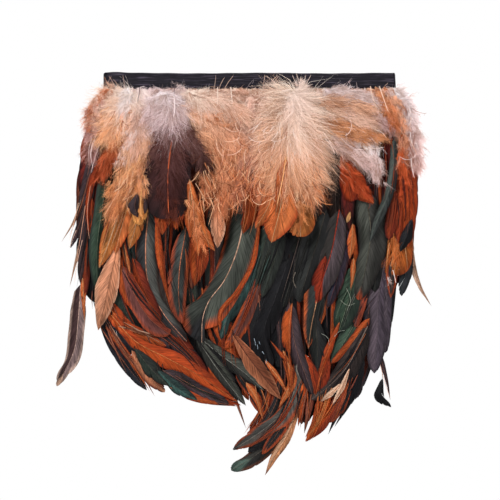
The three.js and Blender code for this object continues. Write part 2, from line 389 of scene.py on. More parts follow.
# Colours of the left and right vane, the edge, the tip and the shaft, and where edge and tip start. A start
# of NONE lies past the vane, so that the colour doesn't show.
NONE = 2.0
Colour = namedtuple("Colour", "slot left right edge tip shaft edge_start tip_start", defaults=(NONE,))
WARM_COLOURS = {
    "under_mauve": ((182, 132, 118), (172, 124, 110), (198, 150, 136), (172, 118, 100), (182, 136, 120), 0.7),
    "under_peach": ((222, 160, 122), (214, 152, 114), (234, 176, 138), (210, 138, 94), (222, 168, 132), 0.7),
    "under_cream": ((236, 194, 166), (228, 184, 156), (244, 206, 182), (220, 164, 124), (236, 198, 172), 0.7),
    "under_lilac": ((206, 180, 176), (198, 172, 168), (220, 198, 194), (176, 142, 134), (208, 184, 180), 0.7),
    "orange": ((204, 104, 54), (210, 114, 62), (186, 78, 38), (186, 78, 38), (242, 190, 138), 0.9),
    "flame": ((208, 88, 34), (198, 80, 30), (158, 54, 22), (214, 104, 46), (238, 160, 96), 0.9),
    "amber": ((196, 106, 46), (186, 96, 40), (172, 78, 34), (206, 124, 62), (240, 190, 140), 0.9),
    "salmon": ((236, 134, 88), (230, 126, 78), (212, 102, 58), (222, 118, 70), (250, 204, 160), 0.9),
    "pale_strip": ((246, 200, 168), (236, 180, 146), (250, 214, 186), (226, 164, 130), (214, 150, 116), 0.86),
    "orange_tan": ((206, 130, 72), (200, 120, 62), (190, 96, 46), (190, 96, 46), (240, 200, 160), 0.9),
    "pale_tan": ((212, 144, 110), (202, 134, 100), (222, 164, 132), (192, 120, 86), (190, 126, 94), 0.86),
    "tan": ((164, 98, 68), (138, 78, 54), (182, 116, 84), (182, 116, 84), (104, 58, 44), 0.86),
    "tan_light": ((218, 158, 100), (208, 146, 90), (226, 172, 120), (200, 130, 74), (236, 190, 140), 0.86),
    "tan_point": ((244, 186, 146), (228, 156, 110), (216, 138, 94), (166, 114, 92), (170, 100, 66), 0.85,
        0.9),
    "pale_thin": ((228, 186, 160), (220, 172, 142), (232, 196, 172), (232, 196, 172), (190, 130, 100), 0.9),
    "rust": ((190, 86, 40), (178, 74, 34), (158, 58, 28), (158, 58, 28), (216, 122, 72), 0.86),
    "rust_bright": ((196, 82, 36), (184, 72, 32), (168, 62, 28), (170, 64, 28), (226, 134, 78), 0.88),
    "rust_red": ((168, 64, 30), (150, 54, 26), (116, 36, 22), (116, 36, 22), (192, 92, 52), 0.85),
    "red_tip": ((150, 48, 24), (138, 42, 22), (112, 32, 20), (122, 36, 22), (176, 70, 44), 0.85),
    "deep_rust": ((140, 56, 30), (124, 46, 28), (92, 32, 24), (92, 32, 24), (172, 82, 50), 0.8),
    "deep_red": ((98, 32, 26), (84, 28, 26), (62, 24, 24), (62, 24, 24), (130, 60, 44), 0.8),
    "mauve": ((124, 72, 66), (142, 62, 44), (156, 70, 44), (160, 84, 60), (172, 96, 70), 0.84),
    "mauve_laced": ((108, 70, 66), (122, 74, 66), (184, 80, 40), (184, 80, 40), (184, 80, 40), 0.66, 0.86),
    "brown_thin": ((150, 84, 62), (122, 62, 46), (110, 52, 40), (96, 48, 40), (196, 130, 100), 0.8),
    "brown_tan": ((172, 108, 78), (148, 84, 60), (120, 62, 46), (196, 138, 104), (200, 140, 104), 0.8, 0.88),
    "eye": ((224, 144, 74), (218, 136, 68), (228, 156, 86), (222, 144, 76), (244, 206, 150), 0.86),
}
DARK_COLOURS = {
    "droop": ((72, 50, 50), (150, 124, 122), (224, 190, 174), (226, 180, 152), (205, 170, 155), 0.8, 0.88),
    "slender": ((86, 94, 88), (58, 62, 60), (38, 36, 38), (44, 46, 44), (110, 110, 104), 0.86),
    "grey": ((46, 46, 48), (92, 92, 88), (74, 52, 46), (56, 50, 50), (230, 154, 120), 0.86, 0.8),
    "hero": ((62, 66, 60), (80, 84, 76), (184, 80, 42), (40, 40, 42), (228, 180, 152), 0.86, 0.8),
    "laced": ((70, 72, 68), (62, 64, 62), (162, 72, 44), (150, 64, 40), (206, 122, 86), 0.7, 0.86),
    "laced_dark": ((40, 44, 42), (44, 46, 44), (192, 90, 44), (192, 90, 44), (208, 152, 112), 0.82, 0.94),
    "dark_laced": ((36, 36, 38), (40, 38, 38), (174, 74, 38), (174, 74, 38), (150, 90, 64), 0.68, 0.88),
    "navy": ((42, 43, 50), (36, 37, 44), (30, 30, 36), (30, 30, 36), (124, 82, 68), 0.86),
    "black": ((18, 17, 22), (20, 19, 23), (27, 24, 28), (26, 26, 30), (46, 44, 47), 0.86),
    "green": ((52, 62, 54), (48, 52, 48), (42, 40, 38), (36, 40, 38), (84, 84, 74), 0.86),
    "green_tip": ((76, 78, 71), (67, 66, 62), (52, 48, 46), (172, 70, 36), (96, 92, 80), 0.86, 0.9),
    "green_black": ((40, 42, 40), (36, 36, 36), (30, 28, 29), (28, 30, 30), (68, 64, 58), 0.86),
    "green_soft": ((58, 78, 62), (52, 68, 56), (40, 50, 44), (40, 50, 44), (130, 142, 118), 0.86),
    "teal": ((64, 96, 90), (48, 70, 67), (38, 46, 46), (38, 46, 46), (90, 96, 90), 0.84),
    "grey_green": ((54, 54, 50), (76, 78, 70), (40, 38, 37), (42, 44, 42), (150, 150, 140), 0.86),
    "purple": ((74, 58, 62), (66, 52, 56), (52, 42, 46), (52, 42, 46), (128, 92, 80), 0.86),
    "purple_grey": ((88, 75, 84), (78, 67, 77), (50, 44, 52), (70, 60, 68), (104, 92, 100), 0.9),
    "blue_purple": ((46, 43, 62), (52, 42, 54), (80, 42, 44), (84, 46, 50), (110, 60, 60), 0.84),
    "red_shaft": ((46, 42, 40), (76, 64, 68), (58, 50, 50), (176, 60, 28), (196, 64, 38), 0.9, 0.76),
    "brown_dark": ((68, 56, 52), (60, 50, 48), (48, 40, 40), (48, 40, 40), (134, 114, 104), 0.86),
    "brown_broad": ((76, 41, 41), (73, 39, 39), (58, 32, 34), (62, 38, 38), (206, 100, 56), 0.86),
    "dark_brown": ((66, 50, 54), (58, 45, 49), (74, 54, 54), (58, 46, 49), (150, 96, 78), 0.84),
    "slate": ((52, 57, 61), (48, 50, 55), (40, 42, 46), (40, 42, 46), (90, 88, 88), 0.86),
    "tail": ((72, 70, 66), (102, 98, 92), (164, 74, 42), (40, 38, 38), (154, 144, 134), 0.74, 0.92),
    "tail_green": ((58, 56, 52), (52, 50, 48), (112, 64, 46), (86, 108, 98), (120, 110, 100), 0.8, 0.78),
}
COLOURS = {
    name: Colour(slot, *row)
    for slot, table in ((VANE_WARM, WARM_COLOURS), (VANE_DARK, DARK_COLOURS))
    for name, row in table.items()
}

# Each feather that shows singly: the node it belongs to, its shape and colour, its half widths left and right
# of the shaft as it runs, its lift at the base and at the tip, and its shaft's pixels from where it shows.
Feather = namedtuple("Feather", "node shape colour left right lift points")
SHOWN = (
    ("feather_left_droop", "tail", "droop", 9, 7, (4, 3),
     ((81, 284), (78.5, 320), (74.5, 350), (65, 371), (57, 386))),
    ("lock_1", "sliver", "orange", 3, 3, (5, 5), ((83, 278), (84, 300), (85, 321))),
    ("feather_left_tan", "leaf", "pale_tan", 13, 11, (12, 11),
     ((119, 244), (111, 278), (105, 306), (99, 330))),
    ("lock_2", "leaf", "orange_tan", 10, 9, (14, 13), ((124, 200), (112, 236), (100, 268))),
    ("lock_2", "leaf", "orange", 9, 9, (14, 13), ((131, 198), (123, 225), (116, 254))),
    ("lock_2", "leaf", "orange_tan", 8, 8, (15, 14), ((141, 203), (136, 228), (130, 249))),
    ("lock_2", "sliver", "orange", 4, 5, (10, 10), ((124, 238), (127, 258), (131, 274))),
    ("lock_2", "tail", "teal", 8, 8, (6, 6), ((128, 210), (128, 245), (134, 288))),
    ("lock_2", "tail", "rust", 7, 8, (8, 8), ((118, 252), (126, 285), (141, 316))),
    ("feather_left_rust_round", "round", "mauve", 9, 10, (9, 9),
     ((124, 266), (136, 296), (150, 318), (170, 334))),
    ("lock_2", "tail", "deep_rust", 6, 7, (9, 9.5), ((133, 258), (145, 290), (161, 320))),
    ("feather_left_grey", "tail", "grey", 9, 13, (8, 8),
     ((149, 208), (146, 250), (149, 284), (165, 315), (187, 341))),
    ("lock_3", "sliver", "rust", 4, 4, (9, 9), ((157, 222), (161, 262), (172, 313))),
    ("lock_3", "tail", "laced", 10, 9, (10, 10), ((187, 226), (180, 268), (179, 296), (182, 323))),
    ("lock_3", "leaf", "rust", 11, 10, (11, 11), ((198, 222), (199, 255), (195, 286))),
    ("feather_centre_s_curve", "whole", "hero", 17, 17, (11, 11),
     ((247, 186), (243, 225), (236, 254), (224, 281), (209, 301), (203, 318), (202, 342))),
    ("lock_4", "tail", "teal", 9, 9, (9, 9.5), ((259, 242), (246, 285), (230, 311), (221, 339))),
    ("feather_centre_rust", "tail", "mauve_laced", 8, 9, (8, 8.5),
     ((263, 266), (249, 308), (237, 331), (224, 348))),
    ("lock_4", "leaf", "rust", 6, 6, (8, 8), ((222, 296), (219, 322), (225, 348))),
    ("lock_4", "tail", "rust", 10, 10, (6, 6), ((226, 316), (229, 345), (241, 374))),
    ("feather_centre_fan_high", "leaf", "grey_green", 8, 9, (8, 8.5),
     ((195, 333), (220, 354), (243, 371), (264, 390))),
    ("feather_centre_fan_low", "leaf", "grey_green", 9, 10, (8, 8),
     ((196, 336), (213, 362), (229, 384), (246, 405))),
    ("feather_centre_tan", "leaf", "tan", 10, 10, (9, 9), ((233, 334), (248, 356), (264, 377), (281, 399))),
    ("lock_2", "tail", "rust", 8, 8, (6, 6.5), ((103, 298), (122, 322), (146, 336), (171, 344))),
    ("feather_left_rust_sweep", "leaf", "rust_bright", 11, 10, (7, 7.5),
     ((112, 315), (136, 341), (166, 357), (201, 376), (237, 401))),
    ("lock_2", "tail", "navy", 8, 8, (5, 5), ((100, 298), (112, 322), (126, 340), (142, 357))),
    ("lock_1", "sliver", "brown_thin", 3, 3, (4, 4), ((101, 310), (118, 342), (138, 367), (155, 396))),
    ("lock_1", "sliver", "brown_thin", 3, 3, (4.5, 4), ((104, 316), (124, 352), (147, 380))),
    ("lock_1", "sliver", "rust", 3, 3, (4.2, 4), ((106, 326), (131, 361), (150, 391))),
    ("feather_left_dark_sweep", "tail", "navy", 6, 6, (3, 3),
     ((98, 298), (112, 340), (132, 372), (147, 390))),
    ("lock_1", "sliver", "black", 3, 3, (3, 3), ((103, 320), (114, 348), (122, 362))),
    ("lock_2", "tail", "brown_tan", 6, 7, (5, 5), ((132, 350), (146, 372), (165, 392))),
    ("lock_2", "leaf", "green", 8, 9, (6, 6), ((135, 348), (151, 368), (169, 386))),
    ("lock_3", "leaf", "teal", 6, 7, (6.5, 6.5), ((158, 370), (177, 387), (198, 400))),
    ("lock_3", "tail", "purple", 7, 8, (5.5, 5.5), ((163, 370), (192, 387), (229, 404))),
    ("lock_3", "sliver", "rust", 5, 5, (5, 5), ((170, 387), (202, 399), (238, 406))),
    ("lock_4", "sliver", "brown_thin", 1.6, 1.6, (4, 4), ((234, 394), (241, 414), (246, 428))),
    ("lock_3", "tail", "purple", 9, 9, (7, 7), ((148, 318), (178, 346), (207, 375))),
    ("lock_3", "tail", "deep_rust", 5, 5, (7.3, 7.3), ((163, 322), (190, 352), (214, 386))),
    ("lock_4", "leaf", "rust", 8, 8, (6, 6), ((205, 342), (216, 368), (231, 396))),
    ("lock_4", "tail", "dark_laced", 6, 6, (7, 7), ((236, 370), (250, 390), (263, 414))),
    ("lock_5", "sliver", "orange", 4, 4, (7.5, 7.5), ((246, 382), (256, 398), (263, 419))),
    ("lock_1", "tail", "dark_brown", 5, 6, (5, 5), ((97, 138), (87, 180), (83, 215), (86, 264))),
    ("feather_left_edge_lower", "tail", "dark_brown", 5, 5, (7, 6),
     ((98, 148), (90, 190), (84, 235), (81, 282))),
    ("lock_1", "sliver", "pale_thin", 1.6, 1.6, (6, 5), ((84, 196), (74, 222), (62, 242))),
    ("feather_left_edge_upper", "tail", "dark_brown", 4, 4, (6, 5), ((91, 176), (82, 220), (71, 248))),
    ("lock_1", "sliver", "pale_thin", 2, 2, (5, 4), ((85, 226), (77, 258), (70, 287))),
    ("lock_1", "tail", "deep_rust", 5, 5, (6, 5), ((93, 200), (88, 250), (84, 302))),
    ("lock_1", "tail", "green_soft", 8, 8, (9, 8), ((110, 152), (104, 200), (98, 245), (98, 296))),
    ("lock_1", "sliver", "rust_red", 4, 4, (8, 7), ((109, 146), (92, 185), (88, 215), (93, 242))),
    ("plume_2", "round", "eye", 9, 8, (17, 17), ((140, 162), (141, 195), (140, 225))),
    ("plume_2", "leaf", "dark_brown", 6, 6, (23.5, 23), ((139, 194), (136, 206), (139, 218))),
    ("plume_2", "leaf", "dark_brown", 2.6, 2.4, (23.5, 23), ((146, 199), (146.5, 207), (146, 215))),
    ("plume_3", "round", "brown_broad", 24, 24, (21, 20), ((172, 124), (168.5, 173), (170, 219))),
    ("plume_3", "leaf", "rust", 11, 10, (17, 17), ((162, 184), (163, 212), (163, 235))),
    ("plume_3", "leaf", "rust", 10, 10, (17, 17), ((176, 184), (177, 208), (176, 230))),
    ("plume_4", "leaf", "orange", 10, 9, (17, 18), ((190, 180), (195, 222), (199, 256))),
    ("plume_4", "leaf", "orange", 6, 7, (17, 17), ((197, 216), (205, 236), (215, 251))),
    ("plume_4", "leaf", "pale_tan", 8, 8, (19, 19), ((217, 204), (218, 227), (218, 248))),
    ("lock_5", "leaf", "rust", 9, 9, (14, 14), ((250, 182), (250, 208), (243, 234))),
    ("plume_5", "leaf", "orange", 19, 18, (26, 28.5), ((285, 176), (280, 208), (271, 243))),
    ("plume_5", "sliver", "orange", 7, 6, (29, 29.5), ((285.5, 160), (281, 186), (275, 216))),
    ("plume_5", "round", "orange_tan", 15, 14, (18, 25), ((294, 168), (299, 205), (300, 237))),
    ("plume_5", "leaf", "orange", 9, 9, (25, 25.5), ((275, 186), (267, 209), (255, 229))),
    ("feather_centre_black", "tail", "black", 18, 17, (7, 7),
     ((291, 220), (276, 272), (261, 309), (256, 334), (268, 371))),
    ("feather_centre_black", "tail", "black", 12, 11, (9.2, 8.6),
     ((289, 258), (275, 298), (264, 332), (271, 368))),
    ("lock_5", "tail", "black", 12, 12, (6, 6), ((273, 250), (258, 300), (252, 352))),
    ("lock_6", "tail", "black", 14, 14, (6.5, 6.5), ((301, 246), (285, 310), (278, 367))),
    ("lock_5", "tail", "green", 9, 9, (9, 8.5), ((271, 220), (262, 255), (256, 287))),
    ("lock_5", "tail", "green", 7, 7, (9, 9), ((283, 226), (274, 262), (262, 297))),
    ("lock_6", "tail", "green_black", 14, 14, (8.5, 8.2), ((307, 210), (296, 260), (283, 307))),
    ("lock_6", "tail", "green_black", 13, 13, (9, 8.8), ((326, 210), (312, 258), (298, 302))),
    ("feather_centre_orange", "leaf", "rust", 12, 2, (10, 10), ((292, 303), (289, 328), (290, 354))),
    ("lock_6", "sliver", "rust_bright", 2, 2, (9.6, 9.6), ((288, 362), (278, 350), (270, 340))),
    ("lock_6", "leaf", "orange", 5, 5, (9, 9), ((283, 350), (291, 378), (279, 407))),
    ("lock_6", "sliver", "orange", 3, 3, (9.3, 9.3), ((265, 360), (280, 380), (290, 399))),
    ("lock_6", "tail", "purple", 7, 8, (9.2, 9.2), ((289, 302), (295, 344), (304, 371), (312, 394))),
    ("feather_right_laced", "shield", "laced_dark", 14, 14, (10.1, 10.1),
     ((320, 276), (316, 302), (311, 326), (308, 348))),
    ("feather_right_red_shaft", "tail", "red_shaft", 11, 12, (10.5, 10.5),
     ((339, 210), (331, 252), (322, 280), (315, 303))),
    ("feather_right_red_shaft", "leaf", "red_tip", 9, 9, (10.9, 10.9), ((325, 256), (320, 281), (317, 303))),
    ("lock_7", "tail", "blue_purple", 7, 7, (9, 9), ((347, 230), (339, 270), (328, 307))),
    ("feather_right_green", "tail", "green_tip", 14, 14, (11.5, 11.5),
     ((363, 186), (370, 230), (366, 262), (358, 300))),
    ("lock_8", "tail", "green_soft", 12, 12, (9, 9), ((359, 260), (348, 300), (338, 332))),
    ("lock_8", "sliver", "orange", 3, 3, (12, 11), ((353, 258), (352, 276), (350, 290))),
    ("lock_8", "leaf", "orange", 5, 5, (13, 13), ((352, 224), (351, 242), (349, 259))),
    ("lock_8", "tail", "mauve", 5, 5, (9.5, 9.5), ((365, 286), (360, 305), (355, 327))),
    ("lock_8", "tail", "rust", 5, 5, (8.9, 8.9), ((369, 318), (350, 344), (331, 363))),
    ("lock_8", "tail", "green_soft", 8, 8, (8.2, 8.2), ((357, 318), (343, 343), (331, 363))),
    ("lock_7", "leaf", "rust_bright", 4, 4, (10.2, 10.2), ((339, 322), (329, 347), (318, 376))),
    ("lock_7", "leaf", "rust_red", 7, 8, (9, 9), ((305, 354), (311, 374), (315, 396))),
    ("lock_7", "leaf", "rust_red", 8, 8, (9, 9), ((328, 352), (322, 374), (315, 396))),
    ("lock_7", "leaf", "green_black", 10, 10, (9.8, 9.8), ((314, 312), (317, 344), (317, 371))),
    ("feather_right_brown_sweep", "tail", "brown_dark", 11, 11, (9.4, 9.4),
     ((367, 326), (346, 367), (328, 386), (311, 399))),
    ("feather_right_black_edge", "tail", "black", 9, 6, (6, 6),
     ((356, 320), (358, 365), (352, 390), (338, 416))),
    ("lock_8", "sliver", "black", 6, 6, (5.5, 5.5), ((352, 346), (346, 390), (328, 434))),
    ("lock_8", "sliver", "black", 4, 4, (5.2, 5.2), ((356, 360), (350, 398), (334, 427))),
    ("lock_8", "leaf", "pale_strip", 3, 3, (10.6, 10.6), ((349, 368), (342, 385), (332, 404))),
    ("lock_7", "leaf", "pale_strip", 3, 3, (10.6, 10.6), ((340, 383), (331, 392), (320, 401))),
    ("lock_8", "tail", "mauve", 8, 8, (8, 8), ((348, 375), (340, 398), (328, 422))),
    ("feather_low_orange", "leaf", "flame", 6, 6, (8.5, 8.5), ((331, 391), (320, 418), (305, 441))),
    ("lock_7", "leaf", "rust_red", 5, 5, (8, 8), ((337, 402), (322, 424), (306, 441))),
    ("lock_7", "sliver", "rust", 4, 4, (7.8, 7.8), ((322, 392), (314, 420), (305, 437))),
    ("lock_7", "sliver", "rust", 5, 5, (7, 7), ((304, 382), (301, 405), (298, 426))),
    ("lock_7", "sliver", "rust_red", 4, 4, (6, 6), ((312, 384), (310, 404), (304, 430))),
    ("lock_7", "tail", "black", 5, 5, (4, 4), ((313, 380), (311, 402), (305, 424))),
    ("lock_7", "tail", "deep_rust", 5, 5, (3, 3), ((306, 376), (306, 402), (301, 424))),
    ("lock_7", "sliver", "brown_thin", 4, 4, (7, 7), ((312, 390), (308, 412), (304, 433))),
    ("feather_tail_dark", "tail", "tail", 9, 9, (7.5, 7),
     ((297, 362), (294, 390), (285, 410), (262, 430), (233, 449))),
    ("feather_tail_green", "round", "tail_green", 8, 8, (4, 3),
     ((299, 390), (286, 422), (262, 450), (231, 470))),
    ("lock_6", "tail", "dark_laced", 6, 6, (5, 5), ((297, 390), (284, 422), (262, 454))),
    ("feather_tail_tan", "leaf", "tan_point", 5.5, 5, (3, 2),
     ((301, 402), (288, 434), (275, 456), (265, 475))),
    ("lock_6", "leaf", "pale_tan", 5, 4, (2, 1.5), ((292, 416), (281, 438), (271, 456))),
    ("lock_6", "tail", "dark_laced", 6, 6, (6, 6), ((281, 374), (276, 402), (261, 427), (238, 444))),
    ("lock_6", "tail", "rust_red", 7, 7, (5.5, 5.5), ((272, 366), (269, 392), (264, 410), (250, 430))),
    ("lock_6", "tail", "black", 8, 8, (4.4, 4.4), ((286, 380), (281, 410), (268, 432), (248, 452))),
    ("lock_5", "tail", "black", 9, 9, (4.6, 4.6), ((262, 352), (266, 378), (272, 406))),
    ("feather_right_purple", "tail", "purple_grey", 13, 10, (7, 7),
     ((385, 258), (378, 300), (377, 335), (374, 373))),
    ("lock_9", "round", "purple_grey", 6, 5, (6.4, 6.2), ((388.5, 245), (386.5, 306), (385, 352.5))),
    ("lock_9", "leaf", "dark_laced", 6, 6, (10, 10), ((391, 254), (391, 278), (390, 298))),
    ("lock_10", "sliver", "black", 6, 6, (6, 6), ((405, 238), (408, 262), (406, 284))),
    ("lock_10", "tail", "slate", 7, 6, (7, 7), ((404, 228), (406, 262), (401, 296))),
    ("feather_right_slender_tan", "sliver", "pale_thin", 4.5, 4.5, (4, 3),
     ((408, 221), (411, 258), (419, 285), (431, 306))),
    ("feather_right_dangle", "leaf", "black", 6, 4, (4, 4), ((382, 378), (381, 394), (391, 407))),
    ("feather_right_dangle", "sliver", "dark_brown", 2.6, 2.6, (4.6, 4.6),
     ((378, 348), (383, 367), (387, 383), (390, 400))),
    ("plume_6", "leaf", "rust", 13, 11, (17, 16), ((340, 154), (354, 181), (373, 204))),
    ("plume_6", "round", "rust_red", 9, 9, (16.4, 15.6), ((344, 164), (348, 184), (351, 202))),
    ("plume_7", "leaf", "orange_tan", 8, 9, (6, 18), ((375, 87), (382, 104), (389, 126))),
    ("plume_7", "leaf", "orange", 6, 6, (6, 17), ((384, 87), (390, 106), (397, 128))),
    ("plume_6", "leaf", "deep_red", 7, 7, (14, 14), ((346, 170), (347, 198), (349, 231))),
    ("plume_6", "leaf", "tan_light", 2.4, 2.4, (15, 15), ((349.5, 212), (348, 217), (346, 223))),
    ("feather_right_slender_dark", "tail", "slender", 5, 5, (15.6, 14.6),
     ((393, 140), (392, 172), (387, 195), (377, 220), (369, 242))),
    ("lock_9", "tail", "deep_red", 8, 8, (13, 12), ((388, 134), (390, 170), (384, 207))),
    ("feather_right_rust", "tail", "rust_bright", 8, 8, (14, 13),
     ((401, 134), (407, 175), (408, 210), (407, 248))),
    ("lock_10", "leaf", "black", 6.5, 6, (15, 14.5), ((411, 219), (406, 235), (399, 252))),
    ("lock_9", "round", "amber", 17, 15, (11, 11), ((399, 208), (397, 244), (393, 275))),
    ("lock_9", "tail", "deep_rust", 7, 7, (12.6, 12.4), ((394, 190), (392, 214), (388, 240))),
    ("lock_9", "leaf", "rust_red", 7, 7, (12.8, 12.6), ((402, 196), (400, 222), (397, 245))),
    ("lock_9", "tail", "black", 9, 6, (5, 5), ((393, 256), (389, 298), (384, 345))),
    ("lock_10", "tail", "rust_red", 6, 6, (12, 11), ((407, 146), (411, 190), (410, 237))),
    ("lock_10", "sliver", "black", 3, 3, (11, 10), ((412, 171), (413, 205), (412, 237))),
    ("lock_9", "tail", "deep_rust", 7, 7, (12, 11.5), ((398, 156), (400, 195), (391, 237))),
    ("lock_9", "tail", "green_black", 9, 9, (9, 8), ((386, 212), (378, 250), (374, 292))),
    ("lock_2", "tail", "black", 10, 10, (-2, -2), ((112, 296), (128, 330), (152, 358), (182, 386))),
    ("lock_3", "tail", "black", 10, 10, (-2, -2), ((150, 320), (176, 350), (205, 374), (236, 398))),
    ("lock_2", "tail", "dark_brown", 9, 9, (1, 1), ((118, 280), (130, 306), (150, 330), (176, 348))),
    ("lock_7", "tail", "black", 9, 9, (2, 2), ((330, 366), (327, 390), (317, 414))),
    ("lock_6", "tail", "black", 9, 9, (2, 2), ((286, 330), (284, 360), (288, 392))),
    ("lock_4", "tail", "black", 9, 9, (5, 5), ((242, 262), (237, 304), (229, 348))),
    ("lock_3", "tail", "black", 6, 6, (3, 3), ((160, 356), (188, 379), (218, 397))),
    ("lock_4", "tail", "black", 8, 8, (5, 5), ((236, 352), (252, 380), (264, 404))),
    ("lock_3", "leaf", "rust_red", 5, 5, (4.6, 4.6), ((196, 383), (216, 395), (241, 405))),
    ("feather_centre_s_curve", "whole", "rust", 2.4, 2.4, (11.8, 11.6),
     ((259, 226), (253, 262), (239, 289), (222, 311), (220, 330))),
)

# Rows of barbs: their pitch along the shaft, the fewest in a feather, and where on a barb its points lie.
ROW_PITCH_MM, FEWEST_ROWS = 1.3, 8
VANE_COLUMNS = np.array((0.0, 0.4, 0.75, 1.0))
BASE_ANGLE, TIP_ANGLE = math.radians(36), math.radians(15)
RISE_POWER = 0.8
HALVINGS, WIDEST = 22, 1.2
# Splits in the vane: the fewest rows of a vane that has splits, the rows to a split, the fewest splits, and
# the rows that stay whole at the base and at the tip. The barbs between two splits lean apart, lift by a
# share of their width, and are shorter near the splits.
FEWEST_SPLIT_ROWS, ROWS_PER_SPLIT, FEWEST_SPLITS, WHOLE_BASE_ROWS, WHOLE_TIP_ROWS = 14, 11, 2, 4, 3
LEAN_START, LEAN_END, LEAN_SPREAD = 0.02, -0.02, 0.035
LIFT_SPREAD = 0.07
NOTCH_DEPTH, NOTCH_ROWS = (0.02, 0.18), 0.9
FRAY_START, FRAY_DEPTH = 0.82, 0.2
BARB_CURL = 0.12

# A vane's own bend: its camber, its roll about the shaft, its tone, and how much a painted sheen makes that
# tone fall from base to tip.
Bend = namedtuple("Bend", "camber roll tone fall")
CAMBERS, ROLL_SPREAD, TONE_RANGE, SHEEN_FALL, SHEEN_FALL_SPREAD = (0.12, 0.3), 0.16, (0.85, 1.15), 0.35, 0.35


def outline(shape, along):
    """The feather's share of full width at a share of its length."""
    along = np.clip(along, 0, 1)
    rise = shape.start + (1 - shape.start) * np.minimum(along / shape.full, 1) ** RISE_POWER
    taper = np.clip((along - shape.narrows) / (1 - shape.narrows), 0, 1)
    return rise * (1 - taper**shape.round_power) ** shape.tip_power


def barb_widths(shape, half_width, along, angle, length):
    """How far from the shaft each barb ends, so that the ends lie on the feather's outline."""
    low, high = np.zeros_like(along), np.full_like(along, WIDEST * half_width)
    for _ in range(HALVINGS):
        middle = (low + high) / 2
        outside = middle > half_width * outline(shape, along + middle / (length * np.tan(angle)))
        low, high = np.where(outside, low, middle), np.where(outside, middle, high)
    return low


def run_notch(count, rng):
    """How much shorter the barbs between two splits grow towards both, as a share."""
    near = np.minimum(np.arange(count), np.arange(count)[::-1])
    return rng.uniform(*NOTCH_DEPTH) * np.exp(-near / NOTCH_ROWS)


def ramps(ends, runs):
    """Values that go evenly from one end to the other along each run, one run after the other."""
    return np.concatenate([np.linspace(*pair, len(run)) for pair, run in zip(ends, runs)])


def vane_side(pile, rng, spine, sign, half_width, feather, seed, bend):
    """One side of a vane: rows of barbs that part here and there into separate tufts."""
    shape, colour = SHAPES[feather.shape], COLOURS[feather.colour]
    rows = len(spine)
    length = path_length(spine)
    most_splits = FEWEST_SPLITS + rows // ROWS_PER_SPLIT
    splits = rng.integers(FEWEST_SPLITS, most_splits + 1) if rows > FEWEST_SPLIT_ROWS else 0
    cuts = rng.integers(WHOLE_BASE_ROWS, rows - WHOLE_TIP_ROWS, splits) if splits else []
    cuts = np.unique(cuts).astype(int)
    ends = np.concatenate(([0], cuts, [rows - 1]))
    runs = [np.arange(a, b + 1) for a, b in zip(ends[:-1], ends[1:])]
    order = np.concatenate(runs)
    skip = np.cumsum([len(run) for run in runs])[:-1] - 1
    lean = ramps(shape.ragged * rng.normal((LEAN_START, LEAN_END), LEAN_SPREAD, (len(runs), 2)), runs)
    lift = ramps(shape.ragged * rng.normal(0, LIFT_SPREAD, (len(runs), 2)), runs)
    notch = 1 - shape.ragged * np.concatenate([run_notch(len(run), rng) for run in runs])
    t, base = np.linspace(0, 1, rows)[order], spine[order]
    heading = unit(np.gradient(spine, axis=0))[order]
    angle = between((BASE_ANGLE, TIP_ANGLE), t) + lean
    frayed = np.clip((t - FRAY_START) / (1 - FRAY_START), 0, 1)
    fray = 1 - rng.uniform(0, FRAY_DEPTH, len(order)) * frayed
    width = barb_widths(shape, half_width, t, angle, length) * fray * notch
    beside = unit(np.cross(FRONT, heading)) * sign
    barb = np.cos(angle)[:, None] * heading + np.sin(angle)[:, None] * beside
    reach = (width / np.sin(angle))[:, None, None] * VANE_COLUMNS[:, None]
    curl = (width[:, None] * VANE_COLUMNS**2)[..., None]
    tilt = ((bend.roll * sign + lift) * width)[:, None, None] * VANE_COLUMNS[:, None]
    points = (
        base[:, None]
        + reach * barb[:, None]
        + BARB_CURL * curl * heading[:, None]
        - bend.camber * curl * FRONT
        + tilt * FRONT
    )
    form = np.stack(np.broadcast_arrays(sign * VANE_COLUMNS, t[:, None], t[:, None] * length / MM), axis=-1)
    places = np.stack(np.broadcast_arrays(t[:, None], VANE_COLUMNS), axis=-1)
    # A random tone for the whole feather, with painted sheen: mostly lighter near the base and darker towards
    # the tip.
    tone = bend.tone * (1 + bend.fall * (0.5 - t))[:, None, None]
    pile.add(
        points[None], colour.slot, pile.new_cells(1), places[None], skip=skip, form=form[None],
        core=(linear(colour.left if sign < 0 else colour.right) * tone)[None],
        edge=(linear(colour.edge) * tone)[None],
        tip=linear(colour.tip) * bend.tone,
        marks=(colour.edge_start, colour.tip_start, seed),
    )


# Shafts: sides of the round thread, rows of barbs to a step, radii at root and tip of a feather with this
# half width, and the least and most share of them on others.
SHAFT_SIDES, SHAFT_STRIDE = 4, 3
SHAFT_RADII_MM, FULL_SHAFT_PX, SHAFT_SHARES = (0.75, 0.12), 14, (0.35, 1.1)
SHAFT_LIFT_MM = 0.25
# The length that a shaft's streaks are laid out on, and the turn that fills a cell of the flat map across.
SHAFT_FORM_MM, SHAFT_CELL_TURN = 40, 7
# The hidden stretch from the ribbon's fold: the root's pixels, how far it leans out against the feather,
# where along it its two middle points lie and their lifts, its steps, and its quill's colour, a dark brown of
# painted shade.
RIBBON_LEFT_PX, RIBBON_RIGHT_PX, ROOT_PX = 109, 390, 84
ROOT_LEAN = 0.4
HIDDEN_SHARES, HIDDEN_LIFTS, HIDDEN_STEPS = (0.45, 0.85), (-3.0, -1.5), 9
SHADED_QUILL = (58, 44, 40)


